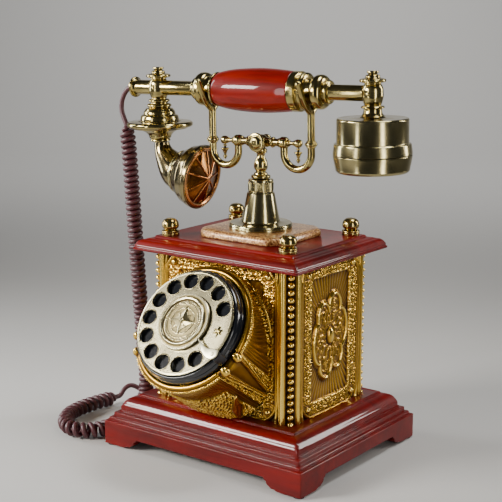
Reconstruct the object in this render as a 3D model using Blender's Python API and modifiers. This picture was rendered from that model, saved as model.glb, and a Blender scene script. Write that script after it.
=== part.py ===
"""Antique-style rotary telephone: moulded wooden plinth, cast resin body, tilted rotary dial,
turned brass stand with a sprung cradle, and a handset with a hanging transmitter horn and receiver.

Units are metres, +Z is up, and the dial faces -Y. Every group is modelled in its own frame, an empty:
  column   on the stand's axis at table level
  dial     on the dial's axis, its +Z pointing out of the dial and its +Y up the dial's face
  cradle   at the middle of the cradle's cross bar, its +X along the bar
  handset  at the middle of the handset, its +X along the grip, towards the receiver
"""

import math

import bmesh
import bpy
from mathutils import Euler, Matrix, Vector

GAP = 0.0003                      # between pieces that touch

# Plinth: a moulded board on four bracket feet
PLINTH_X, PLINTH_Y = 0.1100, 0.0936           # half sizes of the fascia
FOOT_Z = 0.0015                               # underside of the wooden feet, on their pads
FASCIA_Z = 0.0235
PLINTH_TOP = 0.0465
FASCIA_WALL = 0.0110
ARCH_Z = 0.0112                               # flat top of the cut-outs between the feet
ARCH_RUN = 0.0155                             # length of each cut-out's curved end
ARCH_X, ARCH_Y = 0.0870, 0.0715               # half widths of the cut-outs at the table
JACK_Y, JACK_X, JACK_Z = 0.0455, 0.0400, 0.01735
JACK_DEPTH = 0.0105                           # of a socket, within the fascia's wall
PLUG_LENGTH = 0.0130

# Body: a cast box with a round bead at each corner
BODY_X, BODY_Y = 0.0745, 0.0578
BODY_Z0, BODY_Z1 = PLINTH_TOP + GAP, 0.1828
BODY_WALL = 0.0035
BEAD_R = 0.0065
BEAD_X, BEAD_Y = 0.0714, 0.0547

# Top plate and what stands on it
TOP_X, TOP_Y = 0.0902, 0.0734
TOP_Z0, TOP_Z1 = BODY_Z1 + GAP, 0.1957
FINIAL_X, FINIAL_Y = 0.0647, 0.0492
PAD_X, PAD_Y, PAD_CLIP = 0.0460, 0.0400, 0.0130
PAD_Z0, PAD_Z1 = TOP_Z1 + GAP, 0.2028

# Dial
DIAL_Y, DIAL_Z = -0.1086, 0.1376              # middle of the finger wheel's front face
DIAL_TILT = math.radians(35.28)               # of the dial's axis above the horizontal
WHEEL_R, WHEEL_T = 0.0478, 0.0016
HOLE_COUNT, HOLE_PITCH = 12, 2 * math.pi / 14
HOLE_CIRCLE, HOLE_R = 0.0382, 0.00695
FIRST_HOLE = math.radians(27.95)
STOP_ANGLE = math.radians(-27.0)
STOP_Z, STOP_T = 0.0030, 0.0014               # underside and thickness of the finger stop
SURROUND_Z = -0.0115                          # rear of the black ring
LIP_Z = SURROUND_Z - GAP                      # front of the cast housing
GEAR_R, PINION_R = 0.0180, 0.0045
GOVERNOR_ARM = GEAR_R + PINION_R + GAP        # between the dial's axis and the governor's

# Stand and cradle
STEM_R = 0.0035
BORE_R = 0.0042
CRADLE_Z = 0.2803
CRADLE_YAW, CRADLE_TILT = math.radians(4.0), math.radians(-1.2)
HOOK_INNER, HOOK_OUTER = 0.0240, 0.0516       # where each hook's legs stand along the bar
HOOK_R, FORK_R = 0.0030, 0.0023
FORK_Z = 0.0284                               # middle of the fork's root, above the bar
BALL_END = 0.0385

# Ringer and hook switch, inside the body
GONG_X, GONG_Y, GONG_R = -0.0330, 0.0150, 0.0220
CLAPPER_X, CLAPPER_Y, CLAPPER_Z = -0.0040, -0.0200, 0.0720
CLAPPER_ARM = 0.0350
STEM_FOOT_Z = 0.1680
LEVER_PIVOT_X = 0.0400
LEVER_Z = STEM_FOOT_Z - 0.0005 - 0.0010       # middle of the lever, its top half a millimetre under the stem

# Handset
HANDSET_Z = 0.3256
POST_LEFT, POST_RIGHT = -0.1124, 0.1102
NECK_R, TUBE_R, WIRE_WAY_R = 0.0115, 0.0068, 0.0045
HORN_START = Vector((0.0020, 0.0, -0.0505))   # from the left post's middle
HORN_R = 0.0178                               # where the horn meets the bell
BELL_AT = Vector((0.0236, 0.0, -0.0775))
BELL_PITCH = math.radians(9.0)                # the bell looks this far below the grip's line

# Curly cord between the handset and the plinth
CURL_R, WIRE_R = 0.00775, 0.0022


# ---------------------------------------------------------------- scene and materials
def clear_scene():
    for obj in list(bpy.data.objects):
        bpy.data.objects.remove(obj, do_unlink=True)


def new_collection(name):
    collection = bpy.data.collections.new(name)
    bpy.context.scene.collection.children.link(collection)
    return collection


def make_material(name, colour, roughness, metallic):
    material = bpy.data.materials.new(name)
    material.use_nodes = True
    shader = material.node_tree.nodes["Principled BSDF"]
    shader.inputs["Base Color"].default_value = (*colour, 1.0)
    shader.inputs["Roughness"].default_value = roughness
    shader.inputs["Metallic"].default_value = metallic
    return material


clear_scene()
PHONE = new_collection("rotary_telephone")
CUTTERS = new_collection("cutters")

MAHOGANY = make_material("mahogany", (0.28, 0.025, 0.010), 0.15, 0.0)
BRASS = make_material("brass", (0.62, 0.56, 0.36), 0.22, 1.0)
RESIN = make_material("gilt_resin", (0.52, 0.30, 0.07), 0.40, 0.6)
BLACK = make_material("black_plastic", (0.02, 0.02, 0.025), 0.25, 0.0)
STEEL = make_material("steel", (0.50, 0.50, 0.52), 0.35, 1.0)
CLEAR = make_material("clear_plastic", (0.75, 0.75, 0.72), 0.15, 0.0)
FELT = make_material("felt", (0.05, 0.05, 0.05), 0.95, 0.0)
BOARD = make_material("circuit_board", (0.02, 0.20, 0.08), 0.50, 0.0)
COPPER = make_material("copper_coil", (0.45, 0.16, 0.06), 0.45, 0.6)
CORD = make_material("cord", (0.16, 0.035, 0.045), 0.60, 0.0)


def new_empty(name, parent=None, location=(0, 0, 0), rotation=(0, 0, 0)):
    empty = bpy.data.objects.new(name, None)
    empty.parent = parent
    empty.location = location
    empty.rotation_euler = rotation
    PHONE.objects.link(empty)
    return empty


DESK = new_empty("desk")
COLUMN = new_empty("column", DESK)
DIAL = new_empty("dial", COLUMN, (0, DIAL_Y, DIAL_Z), (math.pi / 2 - DIAL_TILT, 0, 0))
CRADLE = new_empty("cradle", COLUMN, (0, 0, CRADLE_Z), (0, CRADLE_TILT, CRADLE_YAW))
HANDSET = new_empty("handset", COLUMN, (0, 0, HANDSET_Z), (0, CRADLE_TILT, CRADLE_YAW))
ALONG_X = (0, math.pi / 2, 0)                 # turns a lathe axis from Z to X
ALONG_FRONT = (math.pi / 2, 0, 0)             # turns a lathe axis from Z to -Y


# ---------------------------------------------------------------- making solids
def add_object(name, data, material, parent, location=(0, 0, 0), rotation=(0, 0, 0)):
    obj = bpy.data.objects.new(name, data)
    obj.parent = parent
    obj.location = location
    obj.rotation_euler = rotation
    if material is not None:
        data.materials.append(material)
    PHONE.objects.link(obj)
    return obj


def smooth(obj):
    obj.data.shade_smooth()
    obj.data.set_sharp_from_angle(angle=math.radians(35))


def mesh_from(bm, name):
    mesh = bpy.data.meshes.new(name)
    bm.to_mesh(mesh)
    bm.free()
    return mesh


def block(name, size, material, parent, location, rotation=(0, 0, 0), bevel=0.0):
    """A box of that full size, its middle at location."""
    bm = bmesh.new()
    bmesh.ops.create_cube(bm, size=1.0, matrix=Matrix.Diagonal((*size, 1.0)))
    obj = add_object(name, mesh_from(bm, name), material, parent, location, rotation)
    if bevel:
        edge = obj.modifiers.new("edge", "BEVEL")
        edge.width = bevel
        edge.segments = 1
    return obj


def turned(name, profile, steps, material, parent, location=(0, 0, 0), rotation=(0, 0, 0), ring=False):
    """A lathe-turned piece. The profile lists (radius, height) down its outer side, from the top; a ring's
    profile goes on up the bore and closes."""
    mesh = bpy.data.meshes.new(name)
    points = [(radius, 0.0, height) for radius, height in profile]
    edges = [(i, i + 1) for i in range(len(points) - 1)]
    if ring:
        edges.append((len(points) - 1, 0))
    mesh.from_pydata(points, edges, [])
    obj = add_object(name, mesh, material, parent, location, rotation)
    screw = obj.modifiers.new("lathe", "SCREW")
    screw.axis = "Z"
    screw.angle = 2 * math.pi
    screw.steps = steps
    screw.render_steps = steps
    screw.use_merge_vertices = True
    screw.merge_threshold = 0.00001
    screw.use_smooth_shade = True
    return obj


def tube(name, points, radius, material, parent, radii=None, sides=2):
    """A round wire along the points; radii scale it point by point."""
    data = bpy.data.curves.new(name, "CURVE")
    data.dimensions = "3D"
    data.bevel_depth = radius
    data.bevel_resolution = sides
    data.use_fill_caps = True
    spline = data.splines.new("POLY")
    spline.points.add(len(points) - 1)
    for index, point in enumerate(points):
        spline.points[index].co = (*point, 1.0)
        spline.points[index].radius = 1.0 if radii is None else radii[index]
    return add_object(name, data, material, parent)


def arc(centre, radius, start, end, count, u=Vector((1, 0, 0)), v=Vector((0, 0, 1))):
    """Points on a circular arc in the plane of u and v, from one angle to another."""
    angles = [start + (end - start) * i / (count - 1) for i in range(count)]
    return [Vector(centre) + radius * (math.cos(a) * u + math.sin(a) * v) for a in angles]


def smooth_route(points, step):
    """Points every step along a Catmull-Rom curve through a route's own points."""
    knots = [Vector(p) for p in points]
    knots = [2 * knots[0] - knots[1]] + knots + [2 * knots[-1] - knots[-2]]
    fine = []
    for a, b, c, d in zip(knots, knots[1:], knots[2:], knots[3:]):
        for k in range(12):
            t = k / 12
            fine.append(0.5 * (2 * b + (c - a) * t + (2 * a - 5 * b + 4 * c - d) * t**2
                               + (3 * b - a - 3 * c + d) * t**3))
    fine.append(knots[-2])
    total = sum((q - p).length for p, q in zip(fine, fine[1:]))
    count = max(2, round(total / step))
    route, walked, target = [fine[0]], 0.0, total / count
    for p, q in zip(fine, fine[1:]):
        walked += (q - p).length
        if walked >= target and len(route) < count:
            route.append(q)
            target += total / count
    return route + [fine[-1]]


def moulding(name, half_x, half_y, rows, material, parent):
    """A rectangular block with a moulded edge; rows give (inset, height) up its side."""
    bm = bmesh.new()
    rings = []
    for inset, height in rows:
        x, y = half_x - inset, half_y - inset
        corners = ((-x, -y), (x, -y), (x, y), (-x, y))
        rings.append([bm.verts.new((px, py, height)) for px, py in corners])
    for low, high in zip(rings, rings[1:]):
        for i in range(4):
            j = (i + 1) % 4
            bm.faces.new((low[i], low[j], high[j], high[i]))
    bm.faces.new(list(reversed(rings[0])))
    bm.faces.new(rings[-1])
    return add_object(name, mesh_from(bm, name), material, parent)


def outline_solid(name, outline, thickness, parent, location, rotation):
    """A flat outline with its thickness, as a mesh: a 2D curve, converted so that it can cut or be cut."""
    data = bpy.data.curves.new(name, "CURVE")
    data.dimensions = "2D"
    data.fill_mode = "BOTH"
    data.extrude = thickness / 2
    spline = data.splines.new("POLY")
    spline.points.add(len(outline) - 1)
    for index, (x, y) in enumerate(outline):
        spline.points[index].co = (x, y, 0.0, 1.0)
    spline.use_cyclic_u = True
    source = add_object(name + "_outline", data, None, None)
    bpy.context.view_layer.update()
    mesh = bpy.data.meshes.new_from_object(source.evaluated_get(bpy.context.evaluated_depsgraph_get()))
    bpy.data.objects.remove(source)
    bm = bmesh.new()
    bm.from_mesh(mesh)
    bmesh.ops.remove_doubles(bm, verts=bm.verts, dist=0.00001)
    bmesh.ops.recalc_face_normals(bm, faces=bm.faces)
    bm.to_mesh(mesh)
    bm.free()
    return add_object(name, mesh, None, parent, location, rotation)


def round_cutters(name, radius, depth, centres, segments, parent):
    """One cutter made of parallel round pins along Z, each centred on one of the centres."""
    bm = bmesh.new()
    for centre in centres:
        bmesh.ops.create_cone(bm, cap_ends=True, segments=segments, radius1=radius, radius2=radius,
                              depth=depth, matrix=Matrix.Translation(centre))
    return add_object(name, mesh_from(bm, name), None, parent)


def boolean(target, other, operation="DIFFERENCE"):
    """Cuts other from target, or joins it on, and hides other."""
    modifier = target.modifiers.new(other.name, "BOOLEAN")
    modifier.operation = operation
    modifier.object = other
    modifier.solver = "EXACT"
    other.display_type = "WIRE"
    other.hide_render = True
    PHONE.objects.unlink(other)
    CUTTERS.objects.link(other)


# ---------------------------------------------------------------- plinth
def ovolo(start, end, count):
    """A quarter ellipse, bulging out and up, between two (inset, height) points."""
    run, rise = end[0] - start[0], end[1] - start[1]
    angles = [math.pi / 2 * i / (count - 1) for i in range(count)]
    return [(end[0] - run * math.cos(a), start[1] + rise * math.sin(a)) for a in angles]


def arch_outline(half_width):
    """The outline of a cut-out between two bracket feet: curved ends under a flat top."""
    flat = half_width - ARCH_RUN
    side = [(flat + ARCH_RUN * (1 - t), ARCH_Z - ARCH_Z * (1 - t) ** 1.6) for t in (0, 0.2, 0.4, 0.6, 0.8)]
    right = [(half_width, -0.002)] + side + [(flat, ARCH_Z)]
    return right + [(-x, z) for x, z in reversed(right)]


def make_plinth():
    rows = [(0.0, FOOT_Z), (0.0, FASCIA_Z), (0.0030, FASCIA_Z), (0.0030, 0.0264), (0.0065, 0.0268),
            (0.0065, 0.0302), (0.0098, 0.0306), (0.0098, 0.0322)]
    rows += ovolo((0.0104, 0.0326), (0.0215, 0.0448), 6)
    rows += [(0.0225, 0.0448), (0.0235, PLINTH_TOP)]
    plinth = moulding("plinth", PLINTH_X, PLINTH_Y, rows, MAHOGANY, COLUMN)
    inner = (2 * (PLINTH_X - FASCIA_WALL), 2 * (PLINTH_Y - FASCIA_WALL), 0.032)
    boolean(plinth, block("plinth_cavity", inner, None, COLUMN, (0, 0, 0.013)))
    boolean(plinth, block("wire_way", (0.060, 0.040, 0.030), None, COLUMN, (0, 0.020, 0.045)))
    across, along = (math.pi / 2, 0, 0), (math.pi / 2, 0, math.pi / 2)
    boolean(plinth, outline_solid("arch_front", arch_outline(ARCH_X), 3 * PLINTH_Y, COLUMN, (0, 0, 0),
                                  across))
    boolean(plinth, outline_solid("arch_side", arch_outline(ARCH_Y), 3 * PLINTH_X, COLUMN, (0, 0, 0), along))
    boolean(plinth, block("jack_hole_left", (0.030, 0.0140, 0.0103), None, COLUMN,
                          (-PLINTH_X, JACK_Y, JACK_Z)))
    boolean(plinth, block("jack_hole_back", (0.0140, 0.030, 0.0103), None, COLUMN,
                          (JACK_X, PLINTH_Y, JACK_Z)))


def make_jack(name, location, rotation):
    """A modular socket in the fascia; its mouth faces the group's -X."""
    jack = block(name, (JACK_DEPTH, 0.0134, 0.0097), BLACK, COLUMN, location, rotation)
    frame = Euler(rotation).to_matrix()
    mouth = Vector(location) + frame @ Vector((-0.004, 0, 0))
    boolean(jack, block(name + "_mouth", (JACK_DEPTH, 0.0092, 0.0068), None, COLUMN, mouth, rotation))


def make_base_fittings():
    disc = [(0, 0.0012), (0.0048, 0.0012), (0.0048, 0), (0, 0)]
    for index, (sx, sy) in enumerate(((-1, -1), (1, -1), (1, 1), (-1, 1)), 1):
        place = (sx * (PLINTH_X - FASCIA_WALL / 2), sy * (PLINTH_Y - FASCIA_WALL / 2), 0)
        turned(f"foot_pad_{index}", disc, 12, FELT, COLUMN, place)
    cover = (2 * (PLINTH_X - FASCIA_WALL) - 0.002, 2 * (PLINTH_Y - FASCIA_WALL) - 0.002, 0.0018)
    block("bottom_cover", cover, BLACK, COLUMN, (0, 0, 0.0136))
    block("ballast_weight", (0.130, 0.100, 0.008), STEEL, COLUMN, (0, -0.010, 0.0190), bevel=0.001)
    inset = JACK_DEPTH / 2 + 0.0005
    make_jack("handset_jack", (-PLINTH_X + inset, JACK_Y, JACK_Z), (0, 0, 0))
    make_jack("line_jack", (JACK_X, PLINTH_Y - inset, JACK_Z), (0, 0, -math.pi / 2))
    block("handset_plug", (PLUG_LENGTH, 0.0086, 0.0062), CLEAR, COLUMN, (-PLINTH_X, JACK_Y, JACK_Z))


# ---------------------------------------------------------------- body and top plate
def make_body():
    height = BODY_Z1 - BODY_Z0
    middle = (BODY_Z0 + BODY_Z1) / 2
    body = block("body_shell", (2 * BODY_X, 2 * BODY_Y, height), RESIN, COLUMN, (0, 0, middle))
    corners = [(sx * BEAD_X, sy * BEAD_Y, middle) for sx in (-1, 1) for sy in (-1, 1)]
    boolean(body, round_cutters("corner_beads", BEAD_R, height, corners, 16, COLUMN), "UNION")
    inner = (2 * (BODY_X - BODY_WALL), 2 * (BODY_Y - BODY_WALL), 2 * height)
    boolean(body, block("body_cavity", inner, None, COLUMN, (0, 0, middle)))
    way_in = round_cutters("dial_way", 0.0380, 0.040, [(0, 0, 0)], 32, COLUMN)
    way_in.location = (0, -BODY_Y, 0.1150)
    way_in.rotation_euler = (math.pi / 2, 0, 0)
    boolean(body, way_in)


def make_top_plate():
    rows = [(0.0060, TOP_Z0), (0.0010, TOP_Z0), (0.0005, TOP_Z0 + 0.0012), (0.0010, 0.1862), (0.0018, 0.1866)]
    rows += ovolo((0.0012, 0.1872), (0.0080, 0.1922), 6)
    rows += [(0.0140, 0.1936), (0.0150, TOP_Z1)]
    plate = moulding("top_plate", TOP_X, TOP_Y, rows, MAHOGANY, COLUMN)
    boolean(plate, round_cutters("plate_bore", BORE_R, 0.06, [(0, 0, TOP_Z0)], 16, COLUMN))
    low = TOP_Z1 + GAP
    finial = [(0, 0.0150), (0.0040, 0.0143), (0.0070, 0.0118), (0.0076, 0.0088), (0.0062, 0.0062),
              (0.0048, 0.0052), (0.0050, 0.0046), (0.0078, 0.0036), (0.0080, 0.0010), (0.0072, 0), (0, 0)]
    for index, (sx, sy) in enumerate(((-1, -1), (1, -1), (1, 1), (-1, 1)), 1):
        turned(f"finial_{index}", finial, 12, BRASS, COLUMN, (sx * FINIAL_X, sy * FINIAL_Y, low))


def make_resin_pad():
    x, y, c = PAD_X, PAD_Y, PAD_CLIP
    outline = [(x, -y + c), (x, y - c), (x - c, y), (-x + c, y),
               (-x, y - c), (-x, -y + c), (-x + c, -y), (x - c, -y)]
    thickness = PAD_Z1 - PAD_Z0
    pad = outline_solid("resin_pad", outline, thickness, COLUMN, (0, 0, PAD_Z0 + thickness / 2), (0, 0, 0))
    pad.data.materials.append(RESIN)
    edge = pad.modifiers.new("edge", "BEVEL")
    edge.width = 0.0016
    edge.segments = 1
    boolean(pad, round_cutters("pad_bore", BORE_R, 0.06, [(0, 0, PAD_Z0)], 16, COLUMN))


# ---------------------------------------------------------------- dial
def dial_point(radius, angle, height):
    return Vector((radius * math.cos(angle), radius * math.sin(angle), height))


def make_dial_housing():
    """A cast bowl that holds the dial: from the round rim to a rounded rectangle on the body."""
    segments = 32
    to_column = Matrix.Translation((0, DIAL_Y, DIAL_Z)) @ Matrix.Rotation(math.pi / 2 - DIAL_TILT, 4, "X")
    low, high, half_width = BODY_Z0 + 0.0004, 0.1760, 0.0520

    def rim_point(angle, radius, height):
        return to_column @ dial_point(radius, angle, height)

    def wall_point(angle, inset):
        """On a rounded rectangle at the body's front, its foot brought forward over the plinth."""
        c, s = math.cos(angle), math.sin(angle)
        x = (half_width - inset) * math.copysign(abs(c) ** 0.6, c)
        z = (low + high) / 2 + ((high - low) / 2 - inset) * math.copysign(abs(s) ** 0.6, s)
        forward = 0.0170 * max(0.0, -s) ** 2
        return Vector((x, -BODY_Y - GAP - forward, z))

    def section(kind, inset):
        points = []
        for i in range(segments):
            angle = 2 * math.pi * i / segments
            wall = wall_point(angle, inset)
            if kind == "lip":
                points.append(rim_point(angle, 0.0547 - inset, LIP_Z))
            elif kind == "bowl":
                points.append(rim_point(angle, 0.0570 - inset, -0.0150))
            elif kind == "waist":
                points.append(rim_point(angle, 0.0550 - inset, -0.0220) * 0.72 + wall * 0.28)
            else:
                points.append(wall)
        return points

    bm = bmesh.new()
    kinds = ("lip", "bowl", "waist", "wall")
    outer = [[bm.verts.new(p) for p in section(kind, 0.0)] for kind in kinds]
    inner = [[bm.verts.new(p) for p in section(kind, 0.0030)] for kind in kinds]
    for skin in (outer, inner):
        for front, back in zip(skin, skin[1:]):
            for i in range(segments):
                j = (i + 1) % segments
                bm.faces.new((front[i], front[j], back[j], back[i]))
    for k in (0, -1):
        for i in range(segments):
            j = (i + 1) % segments
            bm.faces.new((outer[k][i], outer[k][j], inner[k][j], inner[k][i]))
    bmesh.ops.recalc_face_normals(bm, faces=bm.faces)
    smooth(add_object("dial_housing", mesh_from(bm, "dial_housing"), RESIN, COLUMN))


def make_finger_wheel():
    edge = 0.0006
    profile = [(0, 0), (WHEEL_R - edge, 0), (WHEEL_R, -edge), (WHEEL_R, -WHEEL_T), (0, -WHEEL_T)]
    wheel = turned("finger_wheel", profile, 48, BRASS, DIAL)
    centres = [dial_point(HOLE_CIRCLE, FIRST_HOLE + k * HOLE_PITCH, 0) for k in range(HOLE_COUNT)]
    boolean(wheel, round_cutters("finger_holes", HOLE_R, 0.02, centres, 16, DIAL))
    medallion = [(0, 0.0042), (0.0175, 0.0036), (0.0190, 0.0046), (0.0215, 0.0046), (0.0225, 0.0030),
                 (0.0252, 0.0022), (0.0258, GAP), (0, GAP)]
    turned("dial_medallion", medallion, 32, BRASS, DIAL)


def make_dial_fixed_parts():
    plate = [(0.0465, -0.0041), (0.0465, -0.0055), (0.0042, -0.0055), (0.0042, -0.0041)]
    turned("number_plate", plate, 32, BLACK, DIAL, ring=True)
    surround = [(0.0487, -0.0018), (0.0498, -0.0024), (0.0512, -0.0070), (0.0520, -0.0095),
                (0.0520, SURROUND_Z),
                (0.0440, SURROUND_Z), (0.0440, -0.0060), (0.0470, -0.0059), (0.0480, -0.0050)]
    ring = turned("dial_surround", surround, 32, BLACK, DIAL, ring=True)
    lug_foot, lug_top = -0.0100, STOP_Z - GAP
    lug = block("stop_lug", (0.0050, 0.0085, lug_top - lug_foot), None, DIAL,
                dial_point(0.0511, STOP_ANGLE, (lug_top + lug_foot) / 2), (0, 0, STOP_ANGLE))
    boolean(ring, lug, "UNION")
    mechanism = [(0.0480, LIP_Z), (0.0480, LIP_Z - 0.0020), (0.0042, LIP_Z - 0.0020), (0.0042, LIP_Z)]
    plate = turned("mechanism_plate", mechanism, 32, STEEL, DIAL, ring=True)
    pinion = dial_point(GOVERNOR_ARM, math.pi / 2, 0)
    boolean(plate, round_cutters("governor_bore", 0.0022, 0.1, [pinion], 12, DIAL))


def make_finger_stop():
    """A comma-shaped brass blade that reaches in from the ring's lug, over the wheel, to the medallion."""
    outline = [(0.0218, -0.0116), (0.0270, -0.0175), (0.0316, -0.0229), (0.0368, -0.0264), (0.0416, -0.0275),
               (0.0451, -0.0261), (0.0474, -0.0228), (0.0461, -0.0185), (0.0414, -0.0179), (0.0364, -0.0184),
               (0.0309, -0.0167), (0.0257, -0.0136)]
    stop = outline_solid("finger_stop", outline, STOP_T, DIAL, (0, 0, STOP_Z + STOP_T / 2), (0, 0, 0))
    stop.data.materials.append(BRASS)


def make_dial_mechanism():
    spindle = [(0, -WHEEL_T - GAP), (0.0032, -WHEEL_T - GAP), (0.0032, -0.0200), (GEAR_R, -0.0200),
               (GEAR_R, -0.0225), (0.0032, -0.0225), (0.0032, -0.0300), (0, -0.0300)]
    turned("dial_spindle", spindle, 24, STEEL, DIAL)
    rotor = [(0, -0.0110), (0.0018, -0.0110), (0.0018, -0.0185), (PINION_R, -0.0185), (PINION_R, -0.0240),
             (0.0018, -0.0240), (0.0018, -0.0270), (0.0100, -0.0270), (0.0100, -0.0310), (0, -0.0310)]
    turned("governor_rotor", rotor, 20, STEEL, DIAL, dial_point(GOVERNOR_ARM, math.pi / 2, 0))


# ---------------------------------------------------------------- ringer and hook switch
def make_ringer():
    foot = PLINTH_TOP + GAP
    gong = [(0, 0.0840), (0.0060, 0.0835), (0.0160, 0.0800), (0.0210, 0.0740), (GONG_R, 0.0660),
            (GONG_R - 0.0014, 0.0660), (0.0196, 0.0735), (0.0150, 0.0786), (0.0050, 0.0815), (0.0030, 0.0800),
            (0.0030, foot), (0, foot)]
    turned("ringer_gong", gong, 24, STEEL, COLUMN, (GONG_X, GONG_Y, 0))
    striker = [(0, 0.0035), (0.0026, 0.0024), (0.0035, 0), (0.0026, -0.0024), (0, -0.0035)]
    ball = turned("clapper_ball", striker, 12, None, COLUMN, (CLAPPER_X, CLAPPER_Y + CLAPPER_ARM, CLAPPER_Z))
    clapper = block("ringer_clapper", (0.0050, CLAPPER_ARM + 0.004, 0.0020), STEEL, COLUMN,
                    (CLAPPER_X, CLAPPER_Y + CLAPPER_ARM / 2 - 0.002, CLAPPER_Z))
    boolean(clapper, ball, "UNION")
    pivot = (CLAPPER_X, CLAPPER_Y, CLAPPER_Z)
    boolean(clapper, round_cutters("clapper_bore", 0.0014, 0.01, [pivot], 16, COLUMN))
    under = CLAPPER_Z - 0.001 - GAP
    coil = [(0, CLAPPER_Z + 0.0020), (0.0012, CLAPPER_Z + 0.0020), (0.0012, under), (0.0100, under),
            (0.0100, under - 0.0020), (0.0086, under - 0.0020), (0.0086, foot + 0.0020),
            (0.0100, foot + 0.0020),
            (0.0100, foot), (0, foot)]
    turned("ringer_coil", coil, 16, COPPER, COLUMN, (CLAPPER_X, CLAPPER_Y, 0))


def lever_pin(name, radius, length, y):
    """A round pin or cutter along Y, on the hook switch lever's pivot."""
    pin = round_cutters(name, radius, length, [(0, 0, 0)], 12, COLUMN)
    pin.location = (LEVER_PIVOT_X, y, LEVER_Z)
    pin.rotation_euler = (math.pi / 2, 0, 0)
    return pin


def make_hook_switch():
    length = LEVER_PIVOT_X + 0.004
    lever = block("hook_switch_lever", (length, 0.0080, 0.0020), STEEL, COLUMN,
                  (LEVER_PIVOT_X - length / 2 + 0.003, 0, LEVER_Z))
    boolean(lever, lever_pin("lever_boss", 0.0030, 0.0100, 0), "UNION")
    boolean(lever, lever_pin("lever_bore", 0.0014, 0.0200, 0))
    cheek_y = 0.0050 + GAP + 0.001
    bracket = block("hook_switch_bracket", (0.0120, 0.0020, BODY_Z1 - LEVER_Z + 0.006), STEEL, COLUMN,
                    (LEVER_PIVOT_X, cheek_y, (BODY_Z1 + LEVER_Z - 0.006) / 2))
    flange = block("bracket_flange", (0.0119, 0.0120, 0.0020), None, COLUMN,
                   (LEVER_PIVOT_X, cheek_y + 0.0055, BODY_Z1 - 0.001))
    boolean(bracket, flange, "UNION")
    boolean(bracket, lever_pin("bracket_pin", 0.0013, 0.0115, 0.0008), "UNION")
    block("circuit_board", (0.0900, 0.0016, 0.0640), BOARD, COLUMN, (0, 0.0490, 0.0900))


# ---------------------------------------------------------------- stand and cradle
def make_stand():
    low = PAD_Z1 + GAP
    cone_top = 0.2350
    stand = [(0.0120, cone_top), (0.0172, 0.2090), (0.0185, 0.2080), (0.0270, 0.2070), (0.0285, 0.2055),
             (0.0285, low), (BORE_R, low), (BORE_R, cone_top)]
    turned("stand_base", stand, 32, BRASS, COLUMN, ring=True)
    collar = [(0.0100, 0.2472), (0.0115, 0.2462), (0.0115, 0.2362), (0.0108, cone_top + GAP),
              (BORE_R, cone_top + GAP), (BORE_R, 0.2472)]
    turned("knurled_collar", collar, 24, BRASS, COLUMN, ring=True)
    stem = [(0, 0.2744), (0.0046, 0.2740), (0.0056, 0.2724), (0.0056, 0.2706), (0.0036, 0.2690),
            (0.0042, 0.2650),
            (0.0062, 0.2590), (0.0050, 0.2530), (0.0062, 0.2515), (0.0086, 0.2500), (0.0086, 0.2484),
            (0.0070, 0.2475), (STEM_R, 0.2475), (STEM_R, STEM_FOOT_Z + 0.003), (0.0012, STEM_FOOT_Z),
            (0, STEM_FOOT_Z)]
    turned("plunger_stem", stem, 16, BRASS, COLUMN)
    joint = [(0, 0.0106), (0.0060, 0.0098), (0.0084, 0.0078), (0.0078, 0.0060), (0.0045, 0.0048),
             (0.0052, 0.0030),
             (0.0052, -0.0050), (0.0040, -0.0064), (0.0058, -0.0078), (0.0056, -0.0104), (0.0030, -0.0122),
             (0, -0.0124)]
    turned("cross_joint", joint, 16, BRASS, CRADLE, rotation=ALONG_FRONT)


def make_cradle_side(name, sign):
    """One half of the cross bar with its hook, fork and hanging drop; sign is -1 on the left."""
    turn = (0, sign * math.pi / 2, 0)
    bar = [(0, BALL_END + 0.0038), (0.0026, BALL_END + 0.0027), (0.0038, BALL_END),
           (0.0026, BALL_END - 0.0028),
           (0.0018, BALL_END - 0.0036), (0.0018, 0.0292), (0.0040, 0.0276), (0.0053, HOOK_INNER),
           (0.0040, 0.0205),
           (0.0032, 0.0190), (0.0032, 0.0140), (0.0046, 0.0110), (0.0046, 0.0062), (0, 0.0062)]
    bar = turned("bar_" + name, bar, 14, BRASS, CRADLE, rotation=turn)
    middle, radius = (HOOK_INNER + HOOK_OUTER) / 2, (HOOK_OUTER - HOOK_INNER) / 2
    straight = -0.0091
    legs = [Vector((HOOK_INNER, 0, -0.0058))]
    legs += arc((middle, 0, straight), radius, math.pi, 2 * math.pi, 13)
    legs += [Vector((HOOK_OUTER, 0, FORK_Z - FORK_R - GAP))]
    tube("hook_" + name, [(sign * p.x, p.y, p.z) for p in legs], HOOK_R, BRASS, CRADLE)
    prong = [(0.0230, 0.0553), (0.0190, 0.0486), (0.0145, 0.0410), (0.0086, 0.0335), (0.0035, 0.0293)]
    fork = [(sign * HOOK_OUTER, -a, h) for a, h in prong] + [(sign * HOOK_OUTER, 0, FORK_Z)]
    fork += [(sign * HOOK_OUTER, a, h) for a, h in reversed(prong)]
    tube("fork_" + name, fork, FORK_R, BRASS, CRADLE)
    drop = [(0, -0.0020), (0.0016, -0.0022), (0.0015, -0.0068), (0.0036, -0.0076), (0.0030, -0.0095),
            (0.0011, -0.0130), (0.0020, -0.0150), (0.0012, -0.0166), (0, -0.0170)]
    boolean(bar, turned("drop_" + name, drop, 10, None, CRADLE, (sign * BALL_END, 0, 0)), "UNION")


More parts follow.
